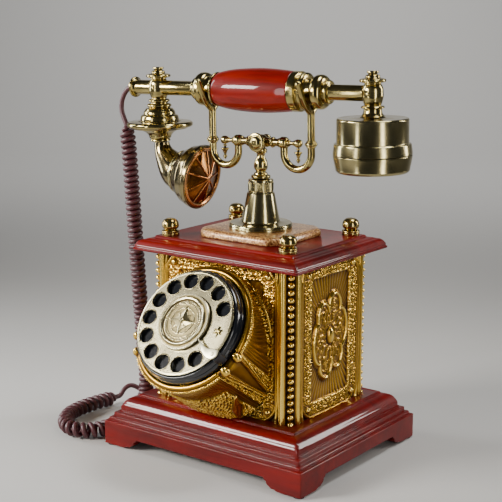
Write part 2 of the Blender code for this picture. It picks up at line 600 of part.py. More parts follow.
# ---------------------------------------------------------------- handset
def make_grip():
    grip = [(0, 0.0350), (0.0170, 0.0350), (0.0176, 0.0340), (0.0190, 0.0180), (0.0196, 0.0040),
            (0.0194, -0.0100),
            (0.0186, -0.0240), (0.0170, -0.0360), (0.0150, -0.0440), (0.0142, -0.0450), (0, -0.0450)]
    turned("grip_barrel", grip, 24, MAHOGANY, HANDSET, rotation=ALONG_X)
    right = [(WIRE_WAY_R, 0.1008), (TUBE_R, 0.1008), (TUBE_R, 0.0702), (0.0098, 0.0698), (0.0098, 0.0658),
             (0.0120, 0.0650), (0.0146, 0.0625), (0.0150, 0.0600), (0.0140, 0.0565), (NECK_R, 0.0546),
             (NECK_R, 0.0488), (0.0155, 0.0480), (0.0165, 0.0450), (0.0155, 0.0428), (0.0165, 0.0420),
             (0.0176, 0.0400), (0.0176, 0.0353), (WIRE_WAY_R, 0.0353)]
    turned("handset_arm_right", right, 16, BRASS, HANDSET, rotation=ALONG_X, ring=True)
    left = [(WIRE_WAY_R, -0.0453), (0.0146, -0.0453), (0.0150, -0.0470), (0.0135, -0.0484), (NECK_R, -0.0488),
            (NECK_R, -0.0546), (0.0140, -0.0565), (0.0150, -0.0600), (0.0146, -0.0625), (0.0120, -0.0650),
            (0.0098, -0.0658), (0.0098, -0.0698), (TUBE_R, -0.0702), (TUBE_R, -0.1030), (WIRE_WAY_R, -0.1030)]
    turned("handset_arm_left", left, 16, BRASS, HANDSET, rotation=ALONG_X, ring=True)
    gland = [(TUBE_R, -0.1218), (TUBE_R, -0.1345), (0.0092, -0.1380), (0.0092, -0.1398), (0.0070, -0.1410),
             (0.0028, -0.1410), (0.0028, -0.1218)]
    turned("cord_gland", gland, 16, BRASS, HANDSET, rotation=ALONG_X, ring=True)


def post_top():
    """The knob, disc and baluster that both posts share, from the top down."""
    return [(0, 0.0190), (0.0048, 0.0188), (0.0052, 0.0166), (0.0030, 0.0158), (0.0030, 0.0146),
            (0.0058, 0.0140),
            (0.0050, 0.0128), (0.0108, 0.0118), (0.0112, 0.0106), (0.0060, 0.0092), (0.0066, 0.0076),
            (0.0091, 0.0020), (0.0091, -0.0020), (0.0070, -0.0094)]


def make_posts():
    left = post_top() + [(0.0095, -0.0110), (0.0072, -0.0130), (0.0098, -0.0150), (0.0080, -0.0180),
                               (0.0108, -0.0196), (0.0120, -0.0238), (0.0160, -0.0262), (0.0168, -0.0299),
                               (0, -0.0299)]
    turned("post_left", left, 16, BRASS, HANDSET, (POST_LEFT, 0, 0))
    right = post_top() + [(0.0094, -0.0108), (0.0080, -0.0128), (0.0085, -0.0160), (0.0110, -0.0193),
                                (0, -0.0193)]
    turned("post_right", right, 16, BRASS, HANDSET, (POST_RIGHT, 0, 0))


def make_transmitter():
    disc = [(0.0040, -0.0302), (0.0290, -0.0302), (0.0306, -0.0320), (0.0308, -0.0350), (0.0290, -0.0376),
            (0.0240, -0.0388), (0.0150, -0.0430), (0.0085, -0.0478), (0.0078, -0.0500), (0.0045, -0.0500),
            (0.0060, -0.0468), (0.0130, -0.0416), (0.0220, -0.0370), (0.0282, -0.0350), (0.0284, -0.0326),
            (0.0040, -0.0322)]
    turned("transmitter_disc", disc, 24, BRASS, HANDSET, (POST_LEFT, 0, 0), ring=True)
    offset = Vector((POST_LEFT, 0, 0))
    ahead = Vector((math.cos(BELL_PITCH), 0, -math.sin(BELL_PITCH)))
    path = [HORN_START, Vector((0.0021, 0, -0.0545)), Vector((0.0042, 0, -0.0605)),
            Vector((0.0086, 0, -0.0668)),
            Vector((0.0136, 0, -0.0722)), BELL_AT - ahead * 0.0045, BELL_AT - ahead * GAP]
    radii = [0.39, 0.42, 0.51, 0.67, 0.83, 0.95, 1.0]
    tube("transmitter_horn", [offset + p for p in path], HORN_R, BRASS, HANDSET, radii=radii, sides=4)
    turn = (0, math.pi / 2 + BELL_PITCH, 0)
    bell = [(0.0284, 0.0240), (0.0300, 0.0232), (0.0300, 0.0208), (0.0292, 0.0180), (0.0272, 0.0118),
            (0.0232, 0.0055), (0.0190, 0), (0.0165, 0), (0.0206, 0.0060), (0.0246, 0.0122), (0.0264, 0.0185),
            (0.0266, 0.0205), (0.0268, 0.0240)]
    turned("mouthpiece_bell", bell, 24, BRASS, HANDSET, offset + BELL_AT, turn, ring=True)
    grille = [(0, 0.0320), (0.0040, 0.0305), (0.0258, 0.0226), (0.0258, 0.0212), (0.0240, 0.0212),
              (0.0040, 0.0290), (0, 0.0298)]
    turned("mouthpiece_grille", grille, 24, BRASS, HANDSET, offset + BELL_AT, turn)
    capsule = [(0, 0.0140), (0.0180, 0.0140), (0.0180, 0.0070), (0, 0.0070)]
    turned("transmitter_capsule", capsule, 16, BLACK, HANDSET, offset + BELL_AT, turn)


def make_receiver():
    place = (POST_RIGHT, 0, 0)
    shell = [(0.0110, -0.0196), (0.0298, -0.0206), (0.0307, -0.0220), (0.0307, -0.0414), (0.0326, -0.0430),
             (0.0337, -0.0480), (0.0337, -0.0508), (0.0310, -0.0508), (0.0290, -0.0400), (0.0285, -0.0230),
             (0.0040, -0.0222), (0.0040, -0.0196)]
    turned("receiver_shell", shell, 24, BRASS, HANDSET, place, ring=True)
    cap = [(0, -0.0570), (0.0080, -0.0570), (0.0245, -0.0630), (0.0280, -0.0630), (0.0308, -0.0555),
           (0.0310, -0.0511), (0.0336, -0.0511),
           (0.0332, -0.0560), (0.0305, -0.0640), (0.0285, -0.0658), (0.0250, -0.0652), (0.0080, -0.0590),
           (0, -0.0590)]
    turned("receiver_cap", cap, 24, BRASS, HANDSET, place)
    capsule = [(0, -0.0330), (0.0200, -0.0330), (0.0200, -0.0460), (0, -0.0460)]
    turned("receiver_capsule", capsule, 20, BLACK, HANDSET, place)


# ---------------------------------------------------------------- curly cord
TAIL_TOP = [(-0.1414, -0.0099, 0.3226), (-0.1470, -0.0102, 0.3212), (-0.1525, -0.0105, 0.3160),
            (-0.1560, -0.0108, 0.3080), (-0.1562, -0.0110, 0.3000), (-0.1535, -0.0112, 0.2930),
            (-0.1505, -0.0113, 0.2872)]
CURL = [(-0.1503, -0.0113, 0.2866), (-0.1468, -0.0122, 0.2650), (-0.1437, -0.0130, 0.2350),
        (-0.1412, -0.0130, 0.2000), (-0.1395, -0.0118, 0.1600), (-0.1382, -0.0096, 0.1150),
        (-0.1372, -0.0068, 0.0700), (-0.1364, -0.0048, 0.0400), (-0.1346, -0.0085, 0.0210),
        (-0.1310, -0.0200, 0.0115), (-0.1268, -0.0360, 0.0084), (-0.1235, -0.0540, 0.0082),
        (-0.1228, -0.0710, 0.0082), (-0.1262, -0.0860, 0.0082), (-0.1345, -0.0955, 0.0082),
        (-0.1460, -0.0985, 0.0082), (-0.1590, -0.0940, 0.0082), (-0.1705, -0.0835, 0.0082),
        (-0.1785, -0.0690, 0.0082), (-0.1815, -0.0520, 0.0082), (-0.1812, -0.0350, 0.0082),
        (-0.1790, -0.0190, 0.0082), (-0.1762, -0.0060, 0.0084)]
TAIL_BASE = [(-0.1760, -0.0050, 0.0084), (-0.1752, -0.0010, 0.0092), (-0.1736, 0.0040, 0.0150),
             (-0.1700, 0.0095, 0.0178), (-0.1640, 0.0155, 0.0140), (-0.1575, 0.0215, 0.0070),
             (-0.1500, 0.0275, 0.0032), (-0.1420, 0.0330, 0.0030), (-0.1340, 0.0390, 0.0060),
             (-0.1275, 0.0430, 0.0120), (-0.1230, 0.0450, 0.0162), (-0.1200, JACK_Y, JACK_Z),
             (-PLINTH_X - PLUG_LENGTH / 2 - 2 * GAP, JACK_Y, JACK_Z)]


def make_cord():
    tube("cord_tail_handset", smooth_route(TAIL_TOP, 0.005), WIRE_R, CORD, COLUMN, sides=2)
    tube("cord_curl", smooth_route(CURL, 0.0165), CURL_R, CORD, COLUMN, sides=3)
    tube("cord_tail_base", smooth_route(TAIL_BASE, 0.006), WIRE_R, CORD, COLUMN, sides=2)


# ---------------------------------------------------------------- origin
def centre_on_base():
    """Moves the whole telephone so that its origin is under the middle of its box, the cord left out."""
    bpy.context.view_layer.update()
    graph = bpy.context.evaluated_depsgraph_get()
    low, high = Vector((9, 9, 9)), Vector((-9, -9, -9))
    for obj in PHONE.objects:
        if obj.type == "EMPTY" or obj.name.startswith("cord_") and obj.name != "cord_gland":
            continue
        mesh = obj.evaluated_get(graph).to_mesh()
        for vertex in mesh.vertices:
            point = obj.matrix_world @ vertex.co
            low = Vector(map(min, low, point))
            high = Vector(map(max, high, point))
        obj.evaluated_get(graph).to_mesh_clear()
    DESK.location = (-(low.x + high.x) / 2, -(low.y + high.y) / 2, 0)
    bpy.context.view_layer.update()


def build():
    make_plinth()
    make_base_fittings()
    make_body()
    make_top_plate()
    make_resin_pad()
    make_dial_housing()
    make_finger_wheel()
    make_dial_fixed_parts()
    make_finger_stop()
    make_dial_mechanism()
    make_ringer()
    make_hook_switch()
    make_stand()
    make_cradle_side("left", -1)
    make_cradle_side("right", 1)
    make_grip()
    make_posts()
    make_transmitter()
    make_receiver()
    make_cord()
    centre_on_base()


build()
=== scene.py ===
"""Looks of the antique-style rotary telephone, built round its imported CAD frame.

Lengths are metres in the row frame. Pieces are made in the same groups as the solids: COLUMN stands on the
stand's axis at desk level, DIAL is on the dial's axis with +Z out of the dial, CRADLE is at the cross bar and
HANDSET in the middle of the grip, both with +X along the bar.
"""

import math

import bmesh
import bpy
import numpy as np
from mathutils import Euler, Matrix, Vector


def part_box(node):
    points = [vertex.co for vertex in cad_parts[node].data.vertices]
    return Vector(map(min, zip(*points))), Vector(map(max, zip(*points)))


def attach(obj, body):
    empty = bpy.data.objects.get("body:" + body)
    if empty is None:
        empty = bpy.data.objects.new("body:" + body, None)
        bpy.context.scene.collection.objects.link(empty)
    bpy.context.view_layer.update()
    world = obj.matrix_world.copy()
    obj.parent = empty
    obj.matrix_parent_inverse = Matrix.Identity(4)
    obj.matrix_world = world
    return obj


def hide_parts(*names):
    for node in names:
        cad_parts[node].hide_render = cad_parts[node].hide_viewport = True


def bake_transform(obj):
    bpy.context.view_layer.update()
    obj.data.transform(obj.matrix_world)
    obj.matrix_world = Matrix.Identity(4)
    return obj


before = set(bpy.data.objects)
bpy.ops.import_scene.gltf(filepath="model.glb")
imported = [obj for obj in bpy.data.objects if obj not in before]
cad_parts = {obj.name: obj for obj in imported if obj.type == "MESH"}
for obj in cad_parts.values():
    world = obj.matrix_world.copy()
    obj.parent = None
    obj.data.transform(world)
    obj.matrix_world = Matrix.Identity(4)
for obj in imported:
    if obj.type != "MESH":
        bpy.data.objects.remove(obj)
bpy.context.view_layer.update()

GAP = 0.0003  # left between the horn's end and the bell
ARC_STEPS = 9  # straight runs in each arc of a profile
VIEW_AZIMUTH = math.radians(36.665)  # from straight ahead of the dial, round to the right
UP = Vector((0, 0, 1))

# ---------------------------------------------------------------- groups
plinth_low, plinth_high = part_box("plinth")
COLUMN = Matrix.Translation(((plinth_low.x + plinth_high.x) / 2, (plinth_low.y + plinth_high.y) / 2, 0))


def group(location, rotation):
    """A frame on the column: its origin and its turn."""
    return COLUMN @ Matrix.Translation(location) @ Euler(rotation).to_matrix().to_4x4()


DIAL_Y, DIAL_Z, DIAL_TILT = -0.1086, 0.1376, math.radians(35.28)
CRADLE_TURN = (0, math.radians(-1.2), math.radians(4.0))
DIAL = group((0, DIAL_Y, DIAL_Z), (math.pi / 2 - DIAL_TILT, 0, 0))
CRADLE = group((0, 0, 0.2803), CRADLE_TURN)
HANDSET = group((0, 0, 0.3256), CRADLE_TURN)
ALONG_X = Matrix.Rotation(math.pi / 2, 4, "Y")
ALONG_FRONT = Matrix.Rotation(math.pi / 2, 4, "X")


def at(matrix, x=0.0, y=0.0, z=0.0):
    """A frame moved along its own axes."""
    return matrix @ Matrix.Translation((x, y, z))


def new_material(name, slot, **values):
    """A Principled material; values are its sockets' settings, with _ for a space."""
    material = bpy.data.materials.new(name)
    material.use_nodes = True
    surface = material.node_tree.nodes["Principled BSDF"]
    for socket, value in values.items():
        surface.inputs[socket.replace("_", " ")].default_value = value
    return material, surface


def add_node(material, kind, **values):
    node = material.node_tree.nodes.new("ShaderNode" + kind)
    for socket, value in values.items():
        node.inputs[socket.replace("_", " ")].default_value = value
    return node


def link(material, output, socket):
    material.node_tree.links.new(output, socket)


def noise(material, scale, detail, stretch=(1, 1, 1), roughness=0.55, distortion=0.0):
    """A noise texture in the piece's own space, stretched by the scales given for each axis."""
    place = add_node(material, "TexCoord")
    mapping = add_node(material, "Mapping", Scale=stretch)
    texture = add_node(material, "TexNoise", Scale=scale, Detail=detail, Roughness=roughness,
                       Distortion=distortion)
    link(material, place.outputs["Object"], mapping.inputs["Vector"])
    link(material, mapping.outputs["Vector"], texture.inputs["Vector"])
    return texture.outputs["Fac"]


def ramp(material, factor, stops):
    """Colours along a factor; stops are (position, (r, g, b))."""
    node = add_node(material, "ValToRGB")
    elements = node.color_ramp.elements
    while len(elements) < len(stops):
        elements.new(0.5)
    for element, (position, colour) in zip(elements, stops):
        element.position = position
        element.color = (*colour, 1.0)
    link(material, factor, node.inputs["Fac"])
    return node.outputs["Color"]


def spread(material, factor, low, high, start=0.3, end=0.7):
    """Maps the middle of a factor's range to low..high."""
    node = add_node(material, "MapRange")
    for socket, value in zip(("From Min", "From Max", "To Min", "To Max"), (start, end, low, high)):
        node.inputs[socket].default_value = value
    link(material, factor, node.inputs["Value"])
    return node.outputs["Result"]


def mix_colours(material, factor, first, second, blend="MIX"):
    """Mixes two colours, each an output or a tuple."""
    node = material.node_tree.nodes.new("ShaderNodeMixRGB")
    node.blend_type = blend
    for value, socket in ((factor, node.inputs[0]), (first, node.inputs[1]), (second, node.inputs[2])):
        if isinstance(value, bpy.types.NodeSocket):
            link(material, value, socket)
        elif isinstance(value, tuple):
            socket.default_value = (*value, 1.0)
        else:
            socket.default_value = value
    return node.outputs["Color"]


def bump(material, surface, height, strength, distance):
    node = add_node(material, "Bump", Strength=strength, Distance=distance)
    link(material, height, node.inputs["Height"])
    link(material, node.outputs["Normal"], surface.inputs["Normal"])


def edge_wear(material):
    """Near 0 in creases, 0.5 on flats and near 1 on edges."""
    geometry = add_node(material, "NewGeometry")
    return spread(material, geometry.outputs["Pointiness"], 0.0, 1.0, 0.44, 0.56)


def antique_brass(name, dark, light, crease, rough=(0.16, 0.27), lathe=0.10):
    """Lacquered antique plating: a cloudy tone, browned creases and, on turned pieces, fine lathe marks."""
    material, surface = new_material(name, "brass", Metallic=1.0, Anisotropic=0.3)
    tone = ramp(material, noise(material, 45, detail=6), [(0.30, dark), (0.70, light)])
    crease_mask = spread(material, edge_wear(material), 1.0, 0.0, 0.05, 0.42)
    link(material, mix_colours(material, crease_mask, tone, crease), surface.inputs["Base Color"])
    smudge = noise(material, 70, detail=5)
    link(material, spread(material, smudge, *rough), surface.inputs["Roughness"])
    if lathe:
        bump(material, surface, noise(material, 1.0, stretch=(20, 20, 2600), detail=3), lathe, 0.00004)
    return material


def lacquered_wood(name, dark, middle, light, stretch):
    """Red mahogany under a thick clear coat; stretch is small along the grain."""
    material, surface = new_material(name, "mahogany", Roughness=0.45, Specular_IOR_Level=0.1,
                                     Coat_Weight=0.45, Coat_Roughness=0.04, Coat_IOR=1.45)
    grain = noise(material, 1.0, stretch=stretch, detail=7, roughness=0.62, distortion=0.35)
    bands = ramp(material, grain, [(0.28, dark), (0.50, middle), (0.74, light)])
    pore_stretch = tuple(6 * s for s in stretch)
    pores = spread(material, noise(material, 1.0, stretch=pore_stretch, detail=3), 0.80, 1.0, 0.36, 0.50)
    shade = add_node(material, "CombineColor")
    for channel in ("Red", "Green", "Blue"):
        link(material, pores, shade.inputs[channel])
    colour = mix_colours(material, 1.0, bands, shade.outputs["Color"], "MULTIPLY")
    link(material, colour, surface.inputs["Base Color"])
    return material


def metal_with_painted_light(name, slot, stops, rough, cloud=0.16, **values):
    """A wiped finish with painted light, by the relief attribute of its mesh: dark in hollows, partly the
    wipe and partly painted shade, and bright on ridges as painted highlights; stops are its colours from one
    to the other."""
    material, surface = new_material(name, slot, **values)
    relief = add_node(material, "Attribute")
    relief.attribute_name = "relief"
    level = add_node(material, "Math")
    level.operation = "MULTIPLY_ADD"
    link(material, noise(material, 60, detail=5), level.inputs[0])
    level.inputs[1].default_value = cloud
    link(material, relief.outputs["Fac"], level.inputs[2])
    # the relief level picks the colour: painted shade in hollows, painted highlights on ridges
    link(material, ramp(material, level.outputs["Value"], stops), surface.inputs["Base Color"])
    link(material, spread(material, level.outputs["Value"], *rough, 0.2, 0.9), surface.inputs["Roughness"])
    bump(material, surface, noise(material, 900, detail=3), 0.25, 0.00012)
    return material


def sanded_resin():
    """The pad under the stand: fine sandy gilt, darkest in its pits and palest on its grains, under amber
    lacquer.
    """
    material, surface = new_material("sanded_resin", "gilt_resin", Metallic=0.35, Roughness=0.40,
                                     Coat_Weight=0.6, Coat_Roughness=0.15)
    grit = noise(material, 560, detail=4, roughness=0.75)
    colour = ramp(material, grit, [(0.40, (0.080, 0.022, 0.004)), (0.47, (0.280, 0.105, 0.020)),
                                   (0.53, (0.520, 0.260, 0.075)), (0.62, (0.760, 0.500, 0.220))])
    link(material, colour, surface.inputs["Base Color"])
    bump(material, surface, grit, 0.8, 0.0005)
    return material


def plain(name, slot, colour, roughness, metallic=0.0, scale=300, strength=0.1, depth=0.0001, **more):
    """A plain finish with a little tooth and slightly uneven gloss."""
    material, surface = new_material(name, slot, Base_Color=(*colour, 1.0), Metallic=metallic, **more)
    tooth = noise(material, scale, detail=4)
    link(material, spread(material, tooth, 0.85 * roughness, 1.15 * roughness), surface.inputs["Roughness"])
    bump(material, surface, tooth, strength, depth)
    return material


BRASS = antique_brass("antique_brass", (0.30, 0.225, 0.075), (0.48, 0.390, 0.155), (0.045, 0.024, 0.007),
                      rough=(0.13, 0.21), lathe=0.06)
PALE_BRASS = antique_brass("pale_dial_brass", (0.48, 0.425, 0.245), (0.57, 0.51, 0.31), (0.09, 0.055, 0.020),
                           rough=(0.24, 0.30), lathe=0)
CREAM_BRASS = antique_brass("cream_stop_brass", (0.72, 0.67, 0.44), (0.80, 0.75, 0.52), (0.20, 0.15, 0.07),
                            rough=(0.34, 0.42), lathe=0)
NICKEL = antique_brass("brushed_nickel_brass", (0.33, 0.275, 0.125), (0.46, 0.395, 0.200),
                       (0.05, 0.030, 0.010), rough=(0.15, 0.20), lathe=0.06)
SMOKED_BRASS = antique_brass("smoked_horn_brass", (0.18, 0.135, 0.060), (0.29, 0.230, 0.110),
                             (0.04, 0.022, 0.008), rough=(0.13, 0.19), lathe=0.04)
COPPER = antique_brass("copper_brass", (0.46, 0.20, 0.08), (0.62, 0.32, 0.13), (0.12, 0.05, 0.02))
BRONZE = antique_brass("dark_bronze", (0.16, 0.065, 0.016), (0.28, 0.125, 0.034), (0.05, 0.02, 0.008))
OLD_BRASS = antique_brass("dark_finial_brass", (0.27, 0.185, 0.05), (0.45, 0.34, 0.12), (0.05, 0.026, 0.008))
MAHOGANY = lacquered_wood("mahogany_board", (0.060, 0.0004, 0.0002), (0.120, 0.0012, 0.0003),
                          (0.190, 0.0032, 0.0005), (6, 60, 45))
GRIP_WOOD = lacquered_wood("mahogany_grip", (0.095, 0.0008, 0.0002), (0.160, 0.0027, 0.0003),
                           (0.250, 0.0095, 0.0008), (45, 45, 5))
# stops from painted shade in the hollows to painted highlights on the ridges
GILT = metal_with_painted_light("gilt_resin_relief", "gilt_resin", [(0.20, (0.020, 0.008, 0.002)),
                                                      (0.42, (0.110, 0.044, 0.006)),
                                                      (0.64, (0.370, 0.188, 0.014)),
                                                      (0.82, (0.660, 0.385, 0.038)),
                                                      (1.0, (0.900, 0.620, 0.130))], (0.46, 0.20),
                  Metallic=0.94, Coat_Weight=0.15, Coat_Roughness=0.10)
# stops from painted shade in the hollows to painted highlights on the ridges
COIN = metal_with_painted_light("medallion_brass", "brass", [(0.20, (0.035, 0.022, 0.008)), (0.46, (0.200, 0.155, 0.065)),
                                               (0.62, (0.400, 0.340, 0.175)), (0.90, (0.700, 0.640, 0.410))],
                  (0.34, 0.24), cloud=0.06, Metallic=1.0)
SANDED = sanded_resin()
BLACK = plain("black_gloss", "black_plastic", (0.006, 0.007, 0.010), 0.16, strength=0.01, Coat_Weight=0.4,
              Coat_Roughness=0.08)
SATIN_BLACK = plain("satin_black", "black_plastic", (0.018, 0.018, 0.020), 0.42)
STEEL = plain("plain_steel", "steel", (0.55, 0.55, 0.56), 0.30, metallic=1.0)
IRON = plain("cast_iron", "ballast_iron", (0.10, 0.10, 0.11), 0.60, metallic=0.8, strength=0.4, depth=0.0005)
WINDING = plain("copper_winding", "copper_coil", (0.55, 0.20, 0.08), 0.35, metallic=0.9)
BOARD = plain("green_board", "circuit_board", (0.015, 0.16, 0.06), 0.40)
FELT = plain("black_felt", "felt", (0.03, 0.03, 0.03), 0.95, scale=1500, strength=0.6)
CLEAR = plain("clear_plug", "clear_plastic", (0.85, 0.85, 0.82), 0.08, Transmission_Weight=0.6)
CORD = plain("maroon_cord", "cord", (0.058, 0.0085, 0.0125), 0.50, scale=700, strength=0.15, Coat_Weight=0.15,
             Coat_Roughness=0.35)


# ---------------------------------------------------------------- pieces
def settle(obj, material, place, body, stands_for=()):
    """Puts a new piece in its place, with its finish, on its body, in place of the solids it stands for."""
    obj.data.materials.append(material)
    obj.matrix_world = place
    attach(obj, body)
    if stands_for:
        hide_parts(*stands_for)
    return obj


def new_object(name, data):
    obj = bpy.data.objects.new(name, data)
    bpy.context.scene.collection.objects.link(obj)
    return obj


def mesh_object(name, vertices, faces, smooth=True):
    mesh = bpy.data.meshes.new(name)
    mesh.from_pydata([tuple(v) for v in vertices], [], faces)
    if smooth:
        mesh.shade_smooth()
    return new_object(name, mesh)


def soften(obj, width, segments=2, angle=30):
    """Rounds the edges sharper than the angle and keeps the faces between them flat."""
    edge = obj.modifiers.new("edge", "BEVEL")
    edge.width = width
    edge.segments = segments
    edge.limit_method = "ANGLE"
    edge.angle_limit = math.radians(angle)
    edge.harden_normals = True


def expand(profile):
    """Points along a profile. An entry (x, y) ends a straight run; (x, y, bulge) ends an arc that stands off
    its chord, to the outside if bulge is positive, by bulge times half the chord."""
    points = [Vector(profile[0][:2])]
    for entry in profile[1:]:
        start, end = points[-1], Vector(entry[:2])
        bulge = entry[2] if len(entry) > 2 else 0.0
        chord = end - start
        if bulge and chord.length > 1e-9:
            along = chord.normalized()
            out = Vector((-along.y, along.x))
            rise = bulge * chord.length / 2
            radius = (chord.length**2 / 4 + rise**2) / (2 * rise)
            centre = (start + end) / 2 + out * (rise - radius)
            sweep = 4 * math.atan(bulge)
            for k in range(1, ARC_STEPS):
                a = -sweep / 2 + sweep * k / ARC_STEPS
                points.append(centre + radius * (math.sin(a) * along + math.cos(a) * out))
        points.append(end)
    return [(max(p.x, 0.0), p.y) for p in points]


def turned(name, profile, material, place, body, stands_for=(), steps=96, ring=False, edge=0.00018,
           ripple=None):
    """A lathe-turned piece about its Z, its profile down the outer side from the top. A ripple
    (count, depth, low, high) cuts that many grooves into the stretch between two heights."""
    vertices, rows = [], []
    for radius, height in expand(profile):
        if radius < 1e-6:
            rows.append([len(vertices)] * steps)
            vertices.append((0, 0, height))
            continue
        rows.append(list(range(len(vertices), len(vertices) + steps)))
        for k in range(steps):
            a = 2 * math.pi * k / steps
            r = radius
            if ripple and ripple[2] < height < ripple[3]:
                r -= ripple[1] * (0.5 + 0.5 * math.cos(ripple[0] * a))
            vertices.append((r * math.cos(a), r * math.sin(a), height))
    pairs = list(zip(rows, rows[1:]))
    if ring:
        pairs.append((rows[-1], rows[0]))
    faces = []
    for upper, lower in pairs:
        for i in range(steps):
            j = (i + 1) % steps
            corners = list(dict.fromkeys((upper[i], lower[i], lower[j], upper[j])))
            if len(corners) > 2:
                faces.append(corners)
    obj = mesh_object(name, vertices, faces)
    if edge:
        soften(obj, edge)
    return settle(obj, material, place, body, stands_for)


def grid_faces(rows, columns):
    """Quads over a grid of rows of points, each row closed on itself."""
    faces = []
    for i in range(rows - 1):
        for j in range(columns):
            k = (j + 1) % columns
            faces.append((i * columns + j, i * columns + k, (i + 1) * columns + k, (i + 1) * columns + j))
    return faces


def closed_rings(rings):
    """Vertices and faces of a closed solid through rings of equally many points."""
    count = len(rings[0])
    vertices = [p for ring in rings for p in ring]
    faces = grid_faces(len(rings), count)
    faces.append(tuple(reversed(range(count))))
    faces.append(tuple(range(len(vertices) - count, len(vertices))))
    return vertices, faces


def loft(name, rings, material, place, body, stands_for, edge=0.0):
    """A piece that is one closed solid through rings of points."""
    obj = mesh_object(name, *closed_rings(rings))
    if edge:
        soften(obj, edge)
    settle(obj, material, place, body, stands_for)


def pipe(name, points, radius, material, place, body, stands_for=(), radii=None, sides=6):
    """A round rod through the points; radii scale it point by point."""
    data = bpy.data.curves.new(name, "CURVE")
    data.dimensions = "3D"
    data.bevel_depth = radius
    data.bevel_resolution = sides
    data.use_fill_caps = True
    spline = data.splines.new("POLY")
    spline.points.add(len(points) - 1)
    for index, point in enumerate(points):
        spline.points[index].co = (*point, 1.0)
        spline.points[index].radius = 1.0 if radii is None else radii[index]
    spline.use_smooth = True
    settle(new_object(name, data), material, place, body, stands_for)


def curve_span(a, b, c, d, count):
    """Points from b on towards c, along the Catmull-Rom curve through all four."""
    span = []
    for k in range(count):
        t = k / count
        span.append(0.5 * (2 * b + (c - a) * t + (2 * a - 5 * b + 4 * c - d) * t**2
                           + (3 * b - a - 3 * c + d) * t**3))
    return span


def smooth_line(points, step):
    """Points about a step apart along a curve through the points given."""
    knots = [Vector(p) for p in points]
    knots = [2 * knots[0] - knots[1]] + knots + [2 * knots[-1] - knots[-2]]
    fine = []
    for a, b, c, d in zip(knots, knots[1:], knots[2:], knots[3:]):
        fine += curve_span(a, b, c, d, max(2, int((c - b).length / step)))
    return fine + [knots[-2]]


def closed_line(points, per_span):
    """A closed curve through the points, in their plane."""
    count = len(points)
    fine = []
    for i in range(count):
        around = [Vector(points[(i + k) % count]) for k in (-1, 0, 1, 2)]
        fine += curve_span(*around, per_span)
    return fine


def lengths_along(line):
    """How far along a line each of its points is."""
    lengths = [0.0]
    for p, q in zip(line, line[1:]):
        lengths.append(lengths[-1] + (q - p).length)
    return lengths


def turn_arc(centre, radius, start, end, count):
    """Points on an arc in the XZ plane."""
    steps = [start + (end - start) * k / (count - 1) for k in range(count)]
    return [Vector((centre[0] + radius * math.cos(a), 0, centre[1] + radius * math.sin(a))) for a in steps]


def mesh_from(bm, name):
    """The bmesh as a mesh object; the bmesh is spent."""
    mesh = bpy.data.meshes.new(name)
    bm.to_mesh(mesh)
    bm.free()
    return new_object(name, mesh)


def ball(name, radii, material, place, body):
    """A small ellipsoid, given by its three radii."""
    bm = bmesh.new()
    bmesh.ops.create_uvsphere(bm, u_segments=32, v_segments=20, radius=1.0,
                              matrix=Matrix.Diagonal((*radii, 1.0)))
    obj = mesh_from(bm, name)
    obj.data.shade_smooth()
    settle(obj, material, place, body)


def repaint(node, material):
    """A CAD node that shows as it is, with its own finish."""
    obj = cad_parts[node]
    obj.data.materials.clear()
    obj.data.materials.append(material)


# ---------------------------------------------------------------- relief maths, on arrays of millimetres
def ridge(distance, width):
    return np.exp(-((distance / width) ** 2))


def dome(x, y, rx, ry):
    return np.sqrt(np.clip(1 - (x / rx) ** 2 - (y / ry) ** 2, 0, 1))


def step_up(x, start, end):
    t = np.clip((x - start) / (end - start), 0, 1)
    return t * t * (3 - 2 * t)


def scatter(ix, iy, seed):
    """A repeatable pseudo-random number from 0 to 1 for each cell."""
    value = np.sin(ix * 127.1 + iy * 311.7 + seed * 74.7) * 43758.5453
    return value - np.floor(value)


def pebbles(x, y, cell, seed=1.0):
    """Leafy bumps, one in each jittered cell, from 0 to 1."""
    cx, cy = np.floor(x / cell), np.floor(y / cell)
    best = np.full(np.shape(x), 9.0)
    for dx in (-1, 0, 1):
        for dy in (-1, 0, 1):
            ix, iy = cx + dx, cy + dy
            px = (ix + 0.2 + 0.6 * scatter(ix, iy, seed)) * cell
            py = (iy + 0.2 + 0.6 * scatter(ix, iy, seed + 5)) * cell
            turn = 3.14 * scatter(ix, iy, seed + 9)
            u = (x - px) * np.cos(turn) + (y - py) * np.sin(turn)
            v = (y - py) * np.cos(turn) - (x - px) * np.sin(turn)
            best = np.minimum(best, np.hypot(u / 0.75, v / 0.45) / cell)
    return np.sqrt(np.clip(1 - (best / 0.8) ** 2, 0, 1))


def bead_row(along, across, pitch, radius):
    """A row of round beads along a line."""
    offset = along - pitch * np.round(along / pitch)
    return dome(offset, across, radius, radius)


def blur(values, size):
    """A box blur over a grid whose rows close on themselves."""
    for axis, mode in enumerate(("edge", "wrap")):
        padding = [(0, 0), (0, 0)]
        padding[axis] = (size, size)
        total = np.cumsum(np.pad(values, padding, mode=mode), axis=axis)
        ahead = np.take(total, range(2 * size, total.shape[axis]), axis=axis)
        behind = np.take(total, range(0, total.shape[axis] - 2 * size), axis=axis)
        values = (ahead - behind) / (2 * size)
    return values


def relief_object(name, points, normals, height, shade, material, place, body, stands_for):
    """A cast skin: a grid of points pushed out along its normals. Its relief attribute, near 1 on ridges and
    near 0 in hollows, gives painted highlights and painted shade; shade is (level, gain) of that, in
    millimetres above its surroundings."""
    level, gain = shade
    moved = points + normals * (height / 1000)[..., None]
    obj = mesh_object(name, moved.reshape(-1, 3), grid_faces(*height.shape))
    # how far each point stands out of its surroundings, which the material paints as shade and highlight
    standing = 0.6 * (height - blur(height, 3)) + 0.5 * (height - blur(height, 9))
    relief = np.clip(level + gain * standing, 0, 1)
    attribute = obj.data.attributes.new("relief", "FLOAT", "POINT")
    attribute.data.foreach_set("value", relief.ravel().astype(np.float32))
    return settle(obj, material, place, body, stands_for)


